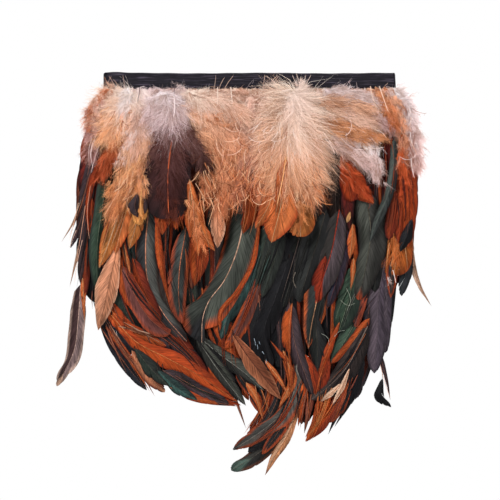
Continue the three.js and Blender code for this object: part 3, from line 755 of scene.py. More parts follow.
def tube(pile, path, radii, slot, tint, seed):
    """A round thread along a path, such as a feather's shaft."""
    heading = unit(np.gradient(path, axis=0))
    beside = unit(np.cross(FRONT, heading))
    above = np.cross(heading, beside)
    turns = np.arange(SHAFT_SIDES) * 2 * math.pi / SHAFT_SIDES
    ring = np.cos(turns)[:, None] * beside[:, None] + np.sin(turns)[:, None] * above[:, None]
    points = path[:, None] + radii[:, None, None] * ring
    along = np.linspace(0, 1, len(path))
    form = np.stack((np.zeros_like(along), along, along * SHAFT_FORM_MM), axis=-1)
    places = np.stack(np.broadcast_arrays(along[:, None], turns / SHAFT_CELL_TURN), axis=-1)
    pile.add(
        points[None], slot, pile.new_cells(1), places[None], wrap=True, form=form[None, :, None],
        core=linear(tint), edge=linear(tint), tip=linear(tint), marks=(NONE, NONE, seed),
    )


def grow_shaft(pile, feather, spine, seed):
    """The shaft from the ribbon's fold, behind the other feathers at first, to the feather's tip."""
    colour = COLOURS[feather.colour]
    (first_x, _), (second_x, _) = feather.points[:2]
    root_px = np.clip(first_x + ROOT_LEAN * (first_x - second_x), RIBBON_LEFT_PX, RIBBON_RIGHT_PX)
    root = at_pixel(root_px, ROOT_PX, 0)
    behind = [root + share * (spine[0] - root) for share in HIDDEN_SHARES]
    for point, lift in zip(behind, HIDDEN_LIFTS):
        point[1] = -min(lift, feather.lift[0]) * MM
    hidden = smooth_path((root, *behind, spine[0]), HIDDEN_STEPS)[:-1]
    path = np.concatenate((hidden, spine[::SHAFT_STRIDE], spine[-1:])) + SHAFT_LIFT_MM * MM * FRONT
    broad = np.clip(max(feather.left, feather.right) / FULL_SHAFT_PX, *SHAFT_SHARES)
    radii = np.linspace(*SHAFT_RADII_MM, len(path)) * broad * MM
    shown = len(hidden)
    # The covered stretch is painted dark brown, as shade under the other feathers.
    tube(pile, path[: shown + 1], radii[: shown + 1], colour.slot, SHADED_QUILL, seed)
    tube(pile, path[shown:], radii[shown:], colour.slot, colour.shaft, seed)


def grow(feather, rng, row_pitch=ROW_PITCH_MM):
    """A whole feather: a shaft from the ribbon's fold to the tip, and a vane on each side of it."""
    pile = PILES[feather.node]
    knots = at_pixels(feather.points, np.linspace(*feather.lift, len(feather.points)))
    spine = smooth_path(knots, max(FEWEST_ROWS, int(path_length(knots) / MM / row_pitch)))
    seed = rng.random()
    bend = Bend(
        camber=rng.uniform(*CAMBERS),
        roll=rng.normal(0, ROLL_SPREAD),
        tone=rng.uniform(*TONE_RANGE),
        fall=rng.normal(SHEEN_FALL, SHEEN_FALL_SPREAD),
    )
    for sign, half_px in ((-1, feather.left), (1, feather.right)):
        vane_side(pile, rng, spine, sign, half_px * PIXEL, feather, seed, bend)
    grow_shaft(pile, feather, spine, seed)


def grow_shown(rng):
    for feather in starmap(Feather, SHOWN):
        grow(feather, rng)


FILL_ROW_PITCH_MM = 2.4


def grow_even(node, shape, colour, half_px, lifts, points, rng, row_pitch=FILL_ROW_PITCH_MM):
    """A feather that is as wide to the left of its shaft as to the right."""
    grow(Feather(node, shape, str(colour), half_px, half_px, lifts, tuple(points)), rng, row_pitch)


# Sprays of narrow loose feathers: their colours, number and lift, the pixels of their middle line, and how
# far they scatter across it at the start and at the tips.
Spray = namedtuple("Spray", "node colours number lift line scatter")
SPRAYS = (
    ("lock_1", "pale_thin rust brown_thin black", 8, 5, ((103, 316), (122, 352), (147, 390)), (4, 9)),
    ("lock_1", "black brown_thin dark_brown pale_thin", 7, 7, ((93, 168), (85, 205), (73, 242)), (4, 7)),
    ("lock_1", "purple black dark_brown", 4, 6.5, ((92, 212), (85, 252), (80, 292)), (4, 5)),
    ("lock_1", "black deep_rust brown_thin", 5, 5.5, ((97, 262), (97, 292), (104, 322)), (5, 5)),
    ("lock_2", "pale_thin tan", 5, 7.6, ((120, 324), (140, 332), (165, 342)), (3, 5)),
    ("lock_2", "deep_rust rust_red black purple", 7, 9.9, ((130, 268), (148, 300), (178, 338)), (8, 6)),
    ("lock_2", "orange_tan orange rust_red", 5, 15, ((127, 200), (117, 228), (106, 264)), (9, 8)),
    ("lock_2", "green_black rust_red black", 5, 11, ((124, 226), (128, 252), (135, 282)), (7, 6)),
    ("lock_3", "purple black deep_rust mauve", 7, 8, ((158, 328), (188, 352), (214, 382)), (6, 7)),
    ("lock_3", "rust_red deep_rust rust", 5, 11.5, ((197, 236), (195, 260), (192, 292)), (9, 6)),
    ("lock_3", "rust_red deep_rust black", 5, 10.5, ((166, 232), (168, 270), (178, 310)), (6, 6)),
    ("lock_3", "black brown_thin green_black", 5, 7, ((170, 372), (195, 388), (228, 403)), (4, 5)),
    ("lock_4", "rust rust_red deep_rust", 5, 8.8, ((226, 318), (227, 345), (233, 378)), (8, 8)),
    ("lock_4", "black green_black", 6, 9, ((202, 340), (222, 364), (248, 396)), (6, 9)),
    ("lock_4", "rust_red deep_rust", 4, 9.2, ((258, 282), (246, 312), (230, 342)), (6, 5)),
    ("lock_5", "teal green black", 8, 9.6, ((272, 242), (264, 272), (256, 304)), (11, 10)),
    ("lock_5", "rust rust_red orange", 4, 15, ((252, 192), (250, 214), (244, 237)), (6, 5)),
    ("lock_5", "black orange rust", 4, 7.4, ((250, 370), (258, 390), (264, 414)), (7, 5)),
    ("lock_6", "dark_brown black rust_red", 5, 8, ((297, 380), (282, 416), (240, 452)), (5, 7)),
    ("lock_6", "rust deep_rust orange", 5, 10.2, ((284, 350), (288, 372), (286, 402)), (5, 7)),
    ("lock_6", "green_black black brown_dark", 7, 9.3, ((312, 225), (302, 262), (290, 306)), (13, 12)),
    ("lock_7", "flame rust_bright flame black", 12, 9, ((331, 384), (321, 412), (306, 439)), (9, 5)),
    ("lock_7", "rust deep_rust black", 6, 9.5, ((320, 362), (318, 376), (316, 398)), (9, 4)),
    ("lock_9", "orange_tan flame tan_light", 8, 11.7, ((398, 236), (396, 256), (394, 277)), (8, 13)),
    ("lock_6", "black deep_rust dark_brown rust", 9, 6.6, ((276, 384), (269, 406), (246, 436)), (8, 8)),
    ("lock_7", "rust brown_thin black deep_rust", 9, 7.4, ((306, 376), (303, 402), (300, 430)), (6, 7)),
    ("lock_7", "black green_black", 4, 9.6, ((322, 290), (316, 318), (309, 350)), (8, 6)),
    ("lock_8", "mauve deep_rust black", 5, 9.4, ((363, 290), (358, 308), (350, 334)), (7, 8)),
    ("lock_8", "grey_green green_soft black", 5, 9.7, ((356, 284), (347, 304), (340, 328)), (8, 7)),
    ("lock_8", "black brown_dark rust", 6, 9.6, ((364, 330), (348, 362), (324, 392)), (7, 7)),
    ("lock_8", "black mauve rust", 6, 8.4, ((352, 372), (342, 400), (329, 428)), (6, 6)),
    ("lock_9", "deep_red deep_rust rust_red", 6, 15, ((386, 138), (389, 170), (384, 206)), (6, 6)),
    ("lock_9", "black rust_red deep_red", 5, 13.5, ((394, 190), (396, 216), (392, 244)), (8, 8)),
    ("lock_10", "rust_red deep_rust deep_red", 6, 14.6, ((404, 156), (408, 194), (408, 240)), (5, 5)),
    ("plume_4", "orange salmon orange_tan", 5, 18.6, ((193, 190), (197, 216), (203, 250)), (4, 11)),
    ("plume_3", "rust rust_red rust_bright", 12, 18.6, ((169, 203), (170, 217), (170, 234)), (9, 13)),
    ("plume_6", "rust_red deep_rust rust", 6, 17.4, ((344, 166), (357, 184), (372, 204)), (6, 8)),
)
SPRAY_HALF_PX = (0.4, 1.2)
# Where along the line a feather of a spray starts and ends, its points, and the steps of the line.
SPRAY_STARTS, SPRAY_TIPS, SPRAY_POINTS, SPRAY_STEPS = (0, 0.3), (0.75, 1.05), 4, 21
SPRAY_SWING_PX, SPRAY_LIFT_SPREAD = 2, 0.4


def grow_sprays(rng):
    for spray in starmap(Spray, SPRAYS):
        for _ in range(spray.number):
            ends = rng.uniform(*SPRAY_STARTS), rng.uniform(*SPRAY_TIPS)
            steps = (np.linspace(*ends, SPRAY_POINTS) * (SPRAY_STEPS - 2)).astype(int)
            points = smooth_path(spray.line, SPRAY_STEPS)[steps]
            points += rng.normal(0, SPRAY_SWING_PX, 2) * np.linspace(-1, 1, SPRAY_POINTS)[:, None]
            points[:, 0] += rng.uniform(-1, 1) * np.linspace(*spray.scatter, SPRAY_POINTS)
            half_px = rng.uniform(*SPRAY_HALF_PX)
            lift = spray.lift + rng.uniform(-SPRAY_LIFT_SPREAD, SPRAY_LIFT_SPREAD)
            colour = rng.choice(spray.colours.split())
            grow_even(spray.node, "sliver", colour, half_px, (lift, lift), points, rng)


# The hanging mass behind the feathers that show singly: each lock's middle line and half width, in pixels.
LOCK_LINES = {
    "lock_1": (((104, 110), (98, 190), (98, 262), (113, 330)), 12),
    "lock_2": (((128, 110), (126, 200), (124, 289), (163, 374)), 20),
    "lock_3": (((164, 110), (165, 212), (166, 309), (215, 396)), 20),
    "lock_4": (((204, 110), (205, 224), (208, 319), (246, 404)), 20),
    "lock_5": (((244, 110), (246, 224), (256, 329), (262, 412)), 20),
    "lock_6": (((284, 110), (286, 224), (292, 329), (293, 408)), 20),
    "lock_7": (((319, 110), (320, 224), (327, 329), (315, 426)), 19),
    "lock_8": (((351, 110), (353, 214), (357, 309), (344, 400)), 18),
    "lock_9": (((380, 110), (383, 189), (385, 259), (375, 330)), 14),
    "lock_10": (((397, 106), (404, 154), (406, 219), (400, 286)), 7),
}
LOCK_STEPS = 60
FILL_DARK = ("black", "navy", "green_black", "green", "purple", "dark_brown", "brown_dark", "deep_red")
FILL_WARM = ("rust", "rust_red", "deep_rust", "rust_red", "mauve", "laced", "dark_laced", "brown_thin")
FILL_DARK_SHARE, FILL_TAIL_SHARE = 0.58, 0.7
# The feathers in front of a lock's middle and behind it: their lifts and number.
FILL_LAYERS = (((-1.0, 4.0), 12), ((-11.0, -4.5), 13))
FILL_TIPS, FILL_LENGTHS, FILL_POINTS = (0.45, 1.0), (0.38, 0.5), 5
FILL_HALF_PX, SLIM_LOCK_PX, SLIM_SHARE = (7, 12), 12, 0.7
# How much a lock's feathers draw in towards its tip, and how they wander from their line.
FILL_DRAWN_IN, DRAWN_IN, WANDER_PX, WANDER_SHARE = 0.45, 0.4, 1.5, 0.6
# Broad black feathers in the middle of each lock, which close the gaps between the others; their black paints
# the shade seen in those gaps.
BACKING_SIDES, BACKING_WIDTH, BACKING_LIFTS, BACKING_ROW_PITCH_MM = (-0.55, 0.0, 0.55), 0.6, (-3.0, -2.0), 5.0
BACKING_START, BACKING_TIPS = 0.2, (0.9, 0.98)
# Narrow feathers in front.
SLIVERS = ("rust", "rust_red", "deep_rust", "brown_thin", "black", "purple", "dark_brown")
SLIVERS_PER_LOCK, SLIVER_POINTS = 5, 4
SLIVER_TIPS, SLIVER_LENGTHS, SLIVER_HALF_PX, SLIVER_LIFTS = (0.55, 1.0), (0.3, 0.42), (1.4, 3.2), (4.5, 7.5)


def lock_points(middle, shares, sideways):
    """Pixels at shares of a lock's middle line, moved sideways."""
    even = np.linspace(0, 1, len(middle))
    return zip(np.interp(shares, even, middle[:, 0]) + sideways, np.interp(shares, even, middle[:, 1]))


def grow_fill(rng):
    """The feathers that fill each lock, in front and behind, with tips at many heights."""
    for node, (line, half) in LOCK_LINES.items():
        middle = smooth_path(line, LOCK_STEPS)
        for lifts, number in FILL_LAYERS:
            for place in rng.permutation(number) / (number - 1):
                tip = rng.uniform(*FILL_TIPS)
                shares = np.linspace(max(0.0, tip - rng.uniform(*FILL_LENGTHS)), tip, FILL_POINTS)
                sideways = rng.uniform(-1, 1) * half * (1 - FILL_DRAWN_IN * shares**2)
                sideways = sideways + rng.normal(0, WANDER_PX, FILL_POINTS).cumsum() * WANDER_SHARE
                colour = rng.choice(FILL_DARK if rng.random() < FILL_DARK_SHARE else FILL_WARM)
                lift = between(lifts, place)
                half_px = rng.uniform(*FILL_HALF_PX) * (SLIM_SHARE if half < SLIM_LOCK_PX else 1)
                shape = "tail" if rng.random() < FILL_TAIL_SHARE else "leaf"
                points = lock_points(middle, shares, sideways)
                grow_even(node, shape, colour, half_px, (lift, lift), points, rng)
        for side in BACKING_SIDES:
            shares = np.linspace(BACKING_START, rng.uniform(*BACKING_TIPS), FILL_POINTS)
            points = lock_points(middle, shares, side * half * (1 - DRAWN_IN * shares**2))
            half_px = BACKING_WIDTH * half
            # Black as painted shade between the feathers.
            grow_even(node, "tail", "black", half_px, BACKING_LIFTS, points, rng, BACKING_ROW_PITCH_MM)
        for _ in range(SLIVERS_PER_LOCK):
            tip = rng.uniform(*SLIVER_TIPS)
            shares = np.linspace(tip - rng.uniform(*SLIVER_LENGTHS), tip, SLIVER_POINTS)
            points = lock_points(middle, shares, rng.uniform(-1, 1) * half * (1 - DRAWN_IN * shares**2))
            half_px, lift = rng.uniform(*SLIVER_HALF_PX), rng.uniform(*SLIVER_LIFTS)
            grow_even(node, "sliver", rng.choice(SLIVERS), half_px, (lift, lift), points, rng)


# The soft short feathers that carry the down: their colours, each up to a pixel across the panel.
UNDER_COLOURS = (
    (104, "under_mauve"), (122, "under_peach"), (140, "under_cream"),
    (188, "under_lilac"), (246, "under_peach"), (330, "under_cream"),
    (352, "under_lilac"), (380, "under_peach"), (396, "under_cream"),
)
UNDER_PITCH_PX, UNDER_ENDS_PX, UNDER_TOP_PX = 6, (106, 394), 87
UNDER_LENGTH_PX, UNDER_LAYER_PX, UNDER_HALF_PX = (40, 60), 14, (8, 11)
# How far a short feather's top strays, how much it leans outwards, how far that lean strays, and the shares
# of its lean and length at the points of its shaft.
UNDER_STRAY_PX, UNDER_LEAN, UNDER_LEAN_PX = 2, 0.03, 3
UNDER_CURVE = ((0, 0), (0.4, 0.5), (1, 1))
# Lifts at base and tip of two layers in front and two behind, and the middle of each node that holds them.
UNDER_FRONT, UNDER_BACK = ((0.6, 11.0), (0.3, 7.0)), ((-0.6, -11.0), (-0.3, -8.0))
PLUME_MIDDLES = {
    "plume_1": 99, "plume_2": 130, "plume_3": 172, "plume_4": 221,
    "plume_5": 287, "plume_6": 351, "plume_7": 400,
}
BACK_PLUME_MIDDLES = {
    "back_plume_1": 135, "back_plume_2": 192, "back_plume_3": 250,
    "back_plume_4": 308, "back_plume_5": 365,
}


def grow_under(rng):
    """Two layers in front and two behind, from the ribbon's hem down behind the down."""
    for middles, layers in ((PLUME_MIDDLES, UNDER_FRONT), (BACK_PLUME_MIDDLES, UNDER_BACK)):
        for layer, lifts in enumerate(layers):
            for x in np.arange(*UNDER_ENDS_PX, UNDER_PITCH_PX):
                node = min(middles, key=lambda name: abs(middles[name] - x))
                top = x + rng.normal(0, UNDER_STRAY_PX)
                colour = next((name for end, name in UNDER_COLOURS if top < end), "under_cream")
                lean = (top - ORIGIN_PX[0]) * UNDER_LEAN + rng.normal(0, UNDER_LEAN_PX)
                length = rng.uniform(*UNDER_LENGTH_PX) + UNDER_LAYER_PX * layer
                points = [
                    (top + lean_share * lean, UNDER_TOP_PX + length_share * length)
                    for lean_share, length_share in UNDER_CURVE
                ]
                grow_even(node, "round", colour, rng.uniform(*UNDER_HALF_PX), lifts, points, rng)


# Down

# A tuft of down: its number of strands, its shaft's pixels, its lift at both ends, how far its strands reach
# to the left and right, their angles from the shaft at both ends, their colours at both ends, and how much
# darker than the rest its deep clumps of painted shade are.
SHADE_DEPTH = 0.46
Tuft = namedtuple("Tuft", "node count shaft lift reach angles top low depth", defaults=(SHADE_DEPTH,))
TUFTS = (
    ("plume_1", 1400, ((112, 91), (102, 100), (95, 113), (92, 128)), (13, 10), (14, 12), (92, 55),
     (255, 226, 204), (236, 184, 160), 0.36),
    ("plume_1", 360, ((110, 91), (99, 101), (92, 114), (88, 130)), (15, 12), (11, 8), (95, 60),
     (222, 150, 108), (200, 128, 98), 0.4),
    ("plume_1", 1500, ((103, 106), (95, 122), (92, 140), (91, 158)), (12, 9), (13, 13), (74, 34),
     (228, 188, 180), (178, 134, 126), 0.5),
    ("plume_1", 4200, ((133, 97), (127, 104), (121, 114), (114, 130)), (16, 15), (34, 30), (104, 40),
     (255, 244, 232), (255, 196, 140), 0.26),
    ("plume_1", 900, ((128, 112), (121, 126), (114, 142)), (18, 15), (14, 16), (50, 24), (246, 176, 122),
     (216, 128, 78), 0.4),
    ("plume_2", 900, ((131, 93), (128, 102), (124, 113)), (18, 19), (14, 10), (60, 26), (255, 252, 250),
     (255, 240, 232), 0.2),
    ("plume_2", 2600, ((141, 93), (140, 108), (138, 130), (134, 152)), (14, 17), (24, 24), (72, 30),
     (255, 238, 232), (250, 206, 176), 0.36),
    ("plume_1", 1400, ((127, 126), (117, 145), (109, 161), (104, 174)), (13, 11), (15, 18), (36, 14),
     (226, 140, 90), (190, 90, 54), 0.5),
    ("plume_2", 200, ((133, 132), (130, 143), (127, 153), (121, 163)), (20.6, 20), (7, 8), (26, 10),
     (255, 244, 240), (255, 226, 208), 0.2),
    ("plume_2", 2600, ((152, 112), (146, 138), (135, 170), (115, 208)), (12, 16), (24, 26), (44, 16),
     (252, 218, 190), (226, 152, 100)),
    ("plume_2", 1500, ((154, 112), (149, 140), (145, 165), (142, 192)), (13, 20.5), (16, 14), (36, 14),
     (255, 222, 196), (236, 168, 112)),
    ("plume_2", 300, ((134, 200), (138, 208), (141, 214)), (18.5, 18.5), (13, 11), (70, 50), (244, 184, 112),
     (230, 160, 92), 0.3),
    ("plume_2", 900, ((140, 160), (130, 184), (118, 210)), (18, 17), (20, 14), (48, 22), (250, 198, 146),
     (222, 144, 88), 0.5),
    ("plume_2", 160, ((124, 180), (115, 198), (109, 216)), (16, 15), (16, 8), (46, 24), (244, 204, 156),
     (228, 168, 116), 0.3),
    ("plume_3", 4600, ((168, 97), (171, 103), (173, 111), (172, 119)), (14, 19), (42, 30), (82, 60),
     (255, 246, 246), (222, 198, 198), 0.4),
    ("plume_3", 1500, ((174, 113), (172, 122), (171, 134)), (19, 21.5), (32, 32), (76, 46), (206, 176, 174),
     (128, 94, 92)),
    ("plume_3", 2900, ((174, 126), (172, 146), (170, 186)), (20, 22), (31, 31), (72, 30), (132, 90, 86),
     (74, 42, 41)),
    ("plume_3", 1100, ((183, 130), (196, 148), (207, 168)), (21, 21), (18, 20), (52, 30), (132, 94, 88),
     (78, 50, 46), 0.5),
    ("plume_3", 600, ((164, 132), (157, 150), (153, 168)), (21, 20), (14, 12), (46, 24), (140, 100, 94),
     (84, 54, 50), 0.5),
    ("plume_4", 1000, ((199, 138), (205, 165), (207, 196)), (16, 16), (13, 15), (40, 20), (240, 180, 138),
     (206, 130, 88)),
    ("plume_4", 1500, ((196, 96), (218, 96), (242, 97)), (10, 11), (26, 5), (80, 64), (255, 236, 222),
     (255, 222, 202), 0.5),
    ("plume_4", 3600, ((186, 98), (202, 100), (222, 105), (242, 115)), (19, 21), (32, 9), (70, 28),
     (255, 236, 222), (255, 212, 184), 0.46),
    ("plume_4", 3600, ((186, 110), (203, 117), (221, 128), (238, 146)), (18, 19), (30, 26), (48, 22),
     (255, 216, 186), (240, 176, 132), 0.4),
    ("plume_4", 1400, ((200, 130), (212, 144), (220, 162), (223, 182)), (19, 18), (20, 30), (40, 16),
     (250, 198, 158), (222, 148, 102)),
    ("plume_4", 2800, ((226, 140), (228, 158), (227, 182), (222, 208)), (18, 17), (26, 30), (42, 14),
     (248, 188, 146), (214, 136, 92), 0.55),
    ("plume_4", 2600, ((254, 98), (251, 124), (246, 154), (238, 194)), (14, 17), (28, 24), (66, 18),
     (255, 220, 202), (210, 124, 80), 0.5),
    ("plume_4", 220, ((209, 122), (219, 121), (231, 123)), (23, 23), (7, 7), (18, 10), (222, 156, 110),
     (210, 142, 96), 0.3),
    ("plume_4", 260, ((191, 196), (195, 218), (200, 242)), (18.6, 18.8), (13, 14), (34, 22), (250, 182, 128),
     (232, 142, 90), 0.4),
    ("plume_5", 2300, ((267, 96), (263, 125), (262, 160), (262, 192)), (15, 19), (28, 30), (74, 18),
     (255, 226, 210), (222, 140, 92), 0.5),
    ("plume_5", 1200, ((288, 90), (287, 102), (286, 120)), (13, 23), (20, 20), (62, 36), (252, 236, 224),
     (250, 222, 202), 0.36),
    ("plume_5", 420, ((302, 99), (302, 93), (301, 87)), (15, 9), (12, 13), (46, 30), (250, 234, 222),
     (250, 234, 222), 0.25),
    ("plume_5", 10500, ((294, 97), (290, 110), (287, 126), (285, 144), (284, 160)), (17, 24), (54, 72),
     (112, 36), (255, 238, 222), (238, 180, 132), 0.5),
    ("plume_5", 2200, ((292, 94), (295, 110), (297, 128), (297, 146)), (23, 27), (18, 48), (96, 50),
     (255, 240, 228), (255, 226, 202), 0.22),
    ("plume_5", 1900, ((291, 150), (286, 170), (282, 192)), (22, 21), (33, 44), (62, 24), (250, 196, 152),
     (228, 152, 104)),
    ("plume_5", 2100, ((303, 136), (308, 165), (310, 190)), (21, 20), (31, 36), (62, 24), (254, 210, 174),
     (232, 166, 122), 0.6),
    ("plume_5", 240, ((283, 196), (281, 212), (275, 228)), (29, 29.5), (18, 15), (44, 28), (228, 142, 84),
     (208, 110, 60), 0.4),
    ("plume_5", 200, ((298, 200), (300, 214), (300, 228)), (26.5, 26.5), (14, 15), (40, 28), (230, 160, 104),
     (214, 134, 78), 0.4),
    ("plume_6", 1700, ((326, 94), (334, 100), (344, 106)), (12, 17), (26, 22), (70, 40), (236, 222, 220),
     (236, 212, 200), 0.4),
    ("plume_6", 1300, ((336, 95), (352, 97), (370, 102)), (15, 18), (20, 14), (44, 22), (246, 236, 234),
     (240, 220, 214), 0.36),
    ("plume_6", 1500, ((322, 104), (342, 106), (362, 111)), (18, 19), (24, 24), (26, 10), (238, 196, 164),
     (230, 186, 154), 0.5),
    ("plume_6", 1300, ((330, 114), (350, 117), (368, 122)), (19, 19), (24, 20), (24, 10), (252, 222, 198),
     (246, 212, 190), 0.36),
    ("plume_6", 1700, ((322, 124), (342, 129), (362, 135)), (18, 19), (24, 24), (22, 8), (228, 172, 128),
     (216, 156, 110), 0.5),
    ("plume_6", 700, ((334, 129), (356, 134), (378, 140)), (20, 20), (13, 11), (20, 7), (240, 184, 136),
     (226, 162, 114), 0.4),
    ("plume_6", 1900, ((330, 141), (346, 149), (362, 162)), (18, 18), (22, 24), (28, 14), (228, 200, 188),
     (230, 206, 200), 0.55),
    ("plume_6", 900, ((360, 134), (371, 150), (375, 174)), (19, 17), (14, 14), (40, 14), (255, 250, 248),
     (236, 208, 202), 0.5),
    ("plume_6", 240, ((350, 150), (366, 160), (379, 178)), (19.5, 18), (18, 20), (34, 16), (240, 222, 216),
     (232, 210, 204), 0.4),
    ("plume_6", 360, ((344, 166), (353, 180), (366, 196)), (20, 19.5), (13, 15), (30, 14), (206, 94, 52),
     (186, 80, 44), 0.4),
    ("plume_7", 900, ((376, 95), (385, 106), (392, 124)), (12, 18), (12, 14), (40, 18), (246, 180, 130),
     (216, 134, 88), 0.4),
    ("plume_7", 4200, ((396, 91), (404, 105), (410, 126), (413, 148), (414, 166)), (12, 12), (13, 17),
     (84, 42), (255, 250, 250), (230, 194, 186), 0.36),
    ("plume_7", 1000, ((391, 96), (397, 112), (402, 136), (405, 160)), (16, 14), (11, 9), (40, 14),
     (248, 200, 166), (222, 150, 112)),
    ("plume_7", 600, ((372, 110), (380, 119), (387, 131)), (17, 17), (12, 14), (66, 36), (242, 220, 216),
     (206, 168, 162), 0.4),
    ("plume_7", 420, ((399, 150), (402, 172), (405, 196)), (15, 13), (14, 14), (14, 6), (226, 118, 68),
     (206, 88, 48), 0.3),
    ("lock_9", 240, ((396, 238), (395, 250), (394, 262)), (11.4, 11.4), (20, 19), (34, 24), (222, 136, 74),
     (206, 114, 58), 0.4),
    ("lock_9", 24, ((387, 268), (390, 274), (393, 280)), (11.4, 11.4), (6, 6), (20, 8), (206, 186, 178),
     (232, 220, 216), 0.3),
    ("plume_3", 900, ((164, 96), (156, 105), (150, 117)), (18, 20), (16, 20), (60, 34), (255, 246, 246),
     (234, 212, 210), 0.36),
    ("plume_2", 480, ((133, 150), (124, 168), (112, 193)), (19, 18), (13, 13), (40, 20), (252, 210, 166),
     (234, 160, 102), 0.4),
    ("plume_3", 320, ((160, 190), (170, 202), (172, 213)), (22, 21.5), (18, 18), (56, 24), (78, 45, 43),
     (104, 54, 42), 0.3),
    ("back_plume_1", 1700, ((133, 92), (131, 125), (126, 170)), (-11, -14), (38, 38), (84, 30),
     (250, 216, 194), (214, 150, 110)),
    ("back_plume_2", 1900, ((192, 92), (191, 125), (189, 170)), (-11, -14), (40, 40), (84, 30),
     (240, 212, 204), (206, 150, 124)),
    ("back_plume_3", 1900, ((250, 92), (250, 125), (250, 172)), (-11, -14), (40, 40), (84, 30),
     (252, 220, 198), (218, 152, 108)),
    ("back_plume_4", 1900, ((308, 92), (309, 125), (311, 172)), (-11, -14), (40, 40), (84, 30),
     (252, 222, 204), (216, 150, 110)),
    ("back_plume_5", 1700, ((367, 92), (369, 125), (374, 168)), (-11, -14), (38, 38), (84, 30),
     (246, 218, 212), (208, 146, 116)),
    ("back_plume_1", 750, ((112, 91), (108, 112), (104, 138)), (-9, -11), (22, 22), (84, 36), (244, 220, 210),
     (220, 164, 132)),
    ("back_plume_1", 1000, ((163, 91), (162, 115), (160, 145)), (-9, -11), (28, 28), (84, 36),
     (250, 224, 208), (226, 170, 134)),
    ("back_plume_2", 1000, ((221, 91), (221, 115), (220, 145)), (-9, -11), (28, 28), (84, 36),
     (246, 224, 216), (214, 166, 146)),
    ("back_plume_4", 1000, ((279, 91), (279, 115), (280, 145)), (-9, -11), (28, 28), (84, 36),
     (250, 222, 204), (222, 162, 124)),
    ("back_plume_5", 1000, ((338, 91), (339, 115), (341, 145)), (-9, -11), (28, 28), (84, 36),
     (244, 224, 218), (214, 170, 152)),
    ("back_plume_5", 750, ((391, 91), (396, 112), (402, 138)), (-9, -11), (22, 22), (84, 36), (246, 226, 220),
     (222, 178, 160)),
)
# Strands grow in clumps that share a tone: a deep tone of painted shade, a middle one, or a pale tone of
# painted highlight; a tint is one of a tuft's heights in one of its tones.
HEIGHTS, TONES = 8, 3
# Painted shade and highlight: deep clumps darker and more saturated, as shade lit by light bounced within the
# down; pale clumps lighter and greyer.
SHADE_AND_HIGHLIGHT_STEPS = np.array(((-0.85, -1.1, -1.25), (-0.18, -0.22, -0.25), (0.36, 0.42, 0.46)))
PALEST = 0.94
STRANDS_PER_CLUMP = 8
# Clumps: how they stray from the shaft, in shares of their angle and reach, and how they rise from the panel.
TUFT_STEPS = 50
TUFT_SPREAD_MM, TUFT_SPREAD_LIMIT = np.array((2.4, 1.2, 2.4)), 1.6
ANGLE_SHARES, HEADING_SPREAD = (0.0, 1.1), 0.2
RISES, REACH_SHARES = (-0.35, 0.45), (0.45, 1.08)
END_REACH, END_SHARES = 0.72, (0.1, 0.9)
TUFT_TINT_SPREAD = 0.12
# Strands: their widths at root and tip, how they stray from their clump, and how they sag and sway.
STRAND_MM, STRAND_STEPS = (0.3, 0.08), np.linspace(0, 1, 3)
CLUMP_SPREAD_MM, CLUMP_HEADING_SPREAD, CLUMP_REACHES = 0.5, 0.13, (0.6, 1.05)
STRAND_SAG, STRAND_INWARD, STRAND_SWAY = 0.1, 0.5, 0.09
STRIP_TILT, STRIP_CELL = 0.45, np.array((0.35, 0.65))
# Painted shade at each strand's root, lightening to a little over its own tint at the tip.
ROOT_SHADE, TIP_LIGHTENING = 0.8, 0.25
# Side hairs: how many to a strand, their widths, where along it they start, how they stray, and lengths.
BARBULES_PER_STRAND, BARBULE_MM = 2, (0.14, 0.05)
BARBULE_PLACES, BARBULE_STRAY, BARBULE_LENGTHS_MM = (0.15, 0.95), 0.75, (2.0, 5.0)
BARBULE_FLATNESS = (1, 0.6, 1)
# Past this far from the panel's middle, or this high over the ribbon's top, strands are pressed flat.
DEEPEST_MM, HIGHEST_MM, PRESSED = 27.0, 1.0, 0.25


def strand_strips(pile, curves, first_cell, tint, shades, widths_mm, rng, tilt=STRIP_TILT):
    """Narrow strips along curves (strand, step, 3), each tinted by its class from root to tip, with painted
    shade that darkens it at the root.
    """
    steps = np.linspace(0, 1, curves.shape[1])
    heading = unit(np.gradient(curves, axis=1))
    face = FRONT + rng.normal(0, tilt, (len(curves), 1, 3))
    beside = unit(np.cross(heading, face))
    half = between(widths_mm, steps) * MM / 2
    points = np.stack((curves - beside * half[:, None], curves + beside * half[:, None]), axis=2)
    places = np.stack(np.broadcast_arrays(steps[:, None], STRIP_CELL), axis=-1)
    # Painted shade: darker at the root, lighter towards the tip.
    root_shade = ROOT_SHADE + TIP_LIGHTENING * steps
    core = shades[tint][:, None, None] * root_shade[:, None, None]
    pile.add(points, DOWN_SLOT, first_cell + tint, places[None], pointed=True, core=core)


def barbules(curves, rng):
    """Short side hairs off strands: start, direction and length by chance along each strand."""
    number = len(curves)
    place = rng.uniform(*BARBULE_PLACES, number) * (curves.shape[1] - 1)
    low = np.minimum(place.astype(int), curves.shape[1] - 2)
    rows = np.arange(number)
    step = curves[rows, low + 1] - curves[rows, low]
    start = curves[rows, low] + (place - low)[:, None] * step
    heading = unit(unit(step) + BARBULE_STRAY * rng.normal(0, 1, (number, 3)) * BARBULE_FLATNESS)
    end = start + heading * rng.uniform(*BARBULE_LENGTHS_MM, (number, 1)) * MM
    return np.stack((start, end), axis=1)


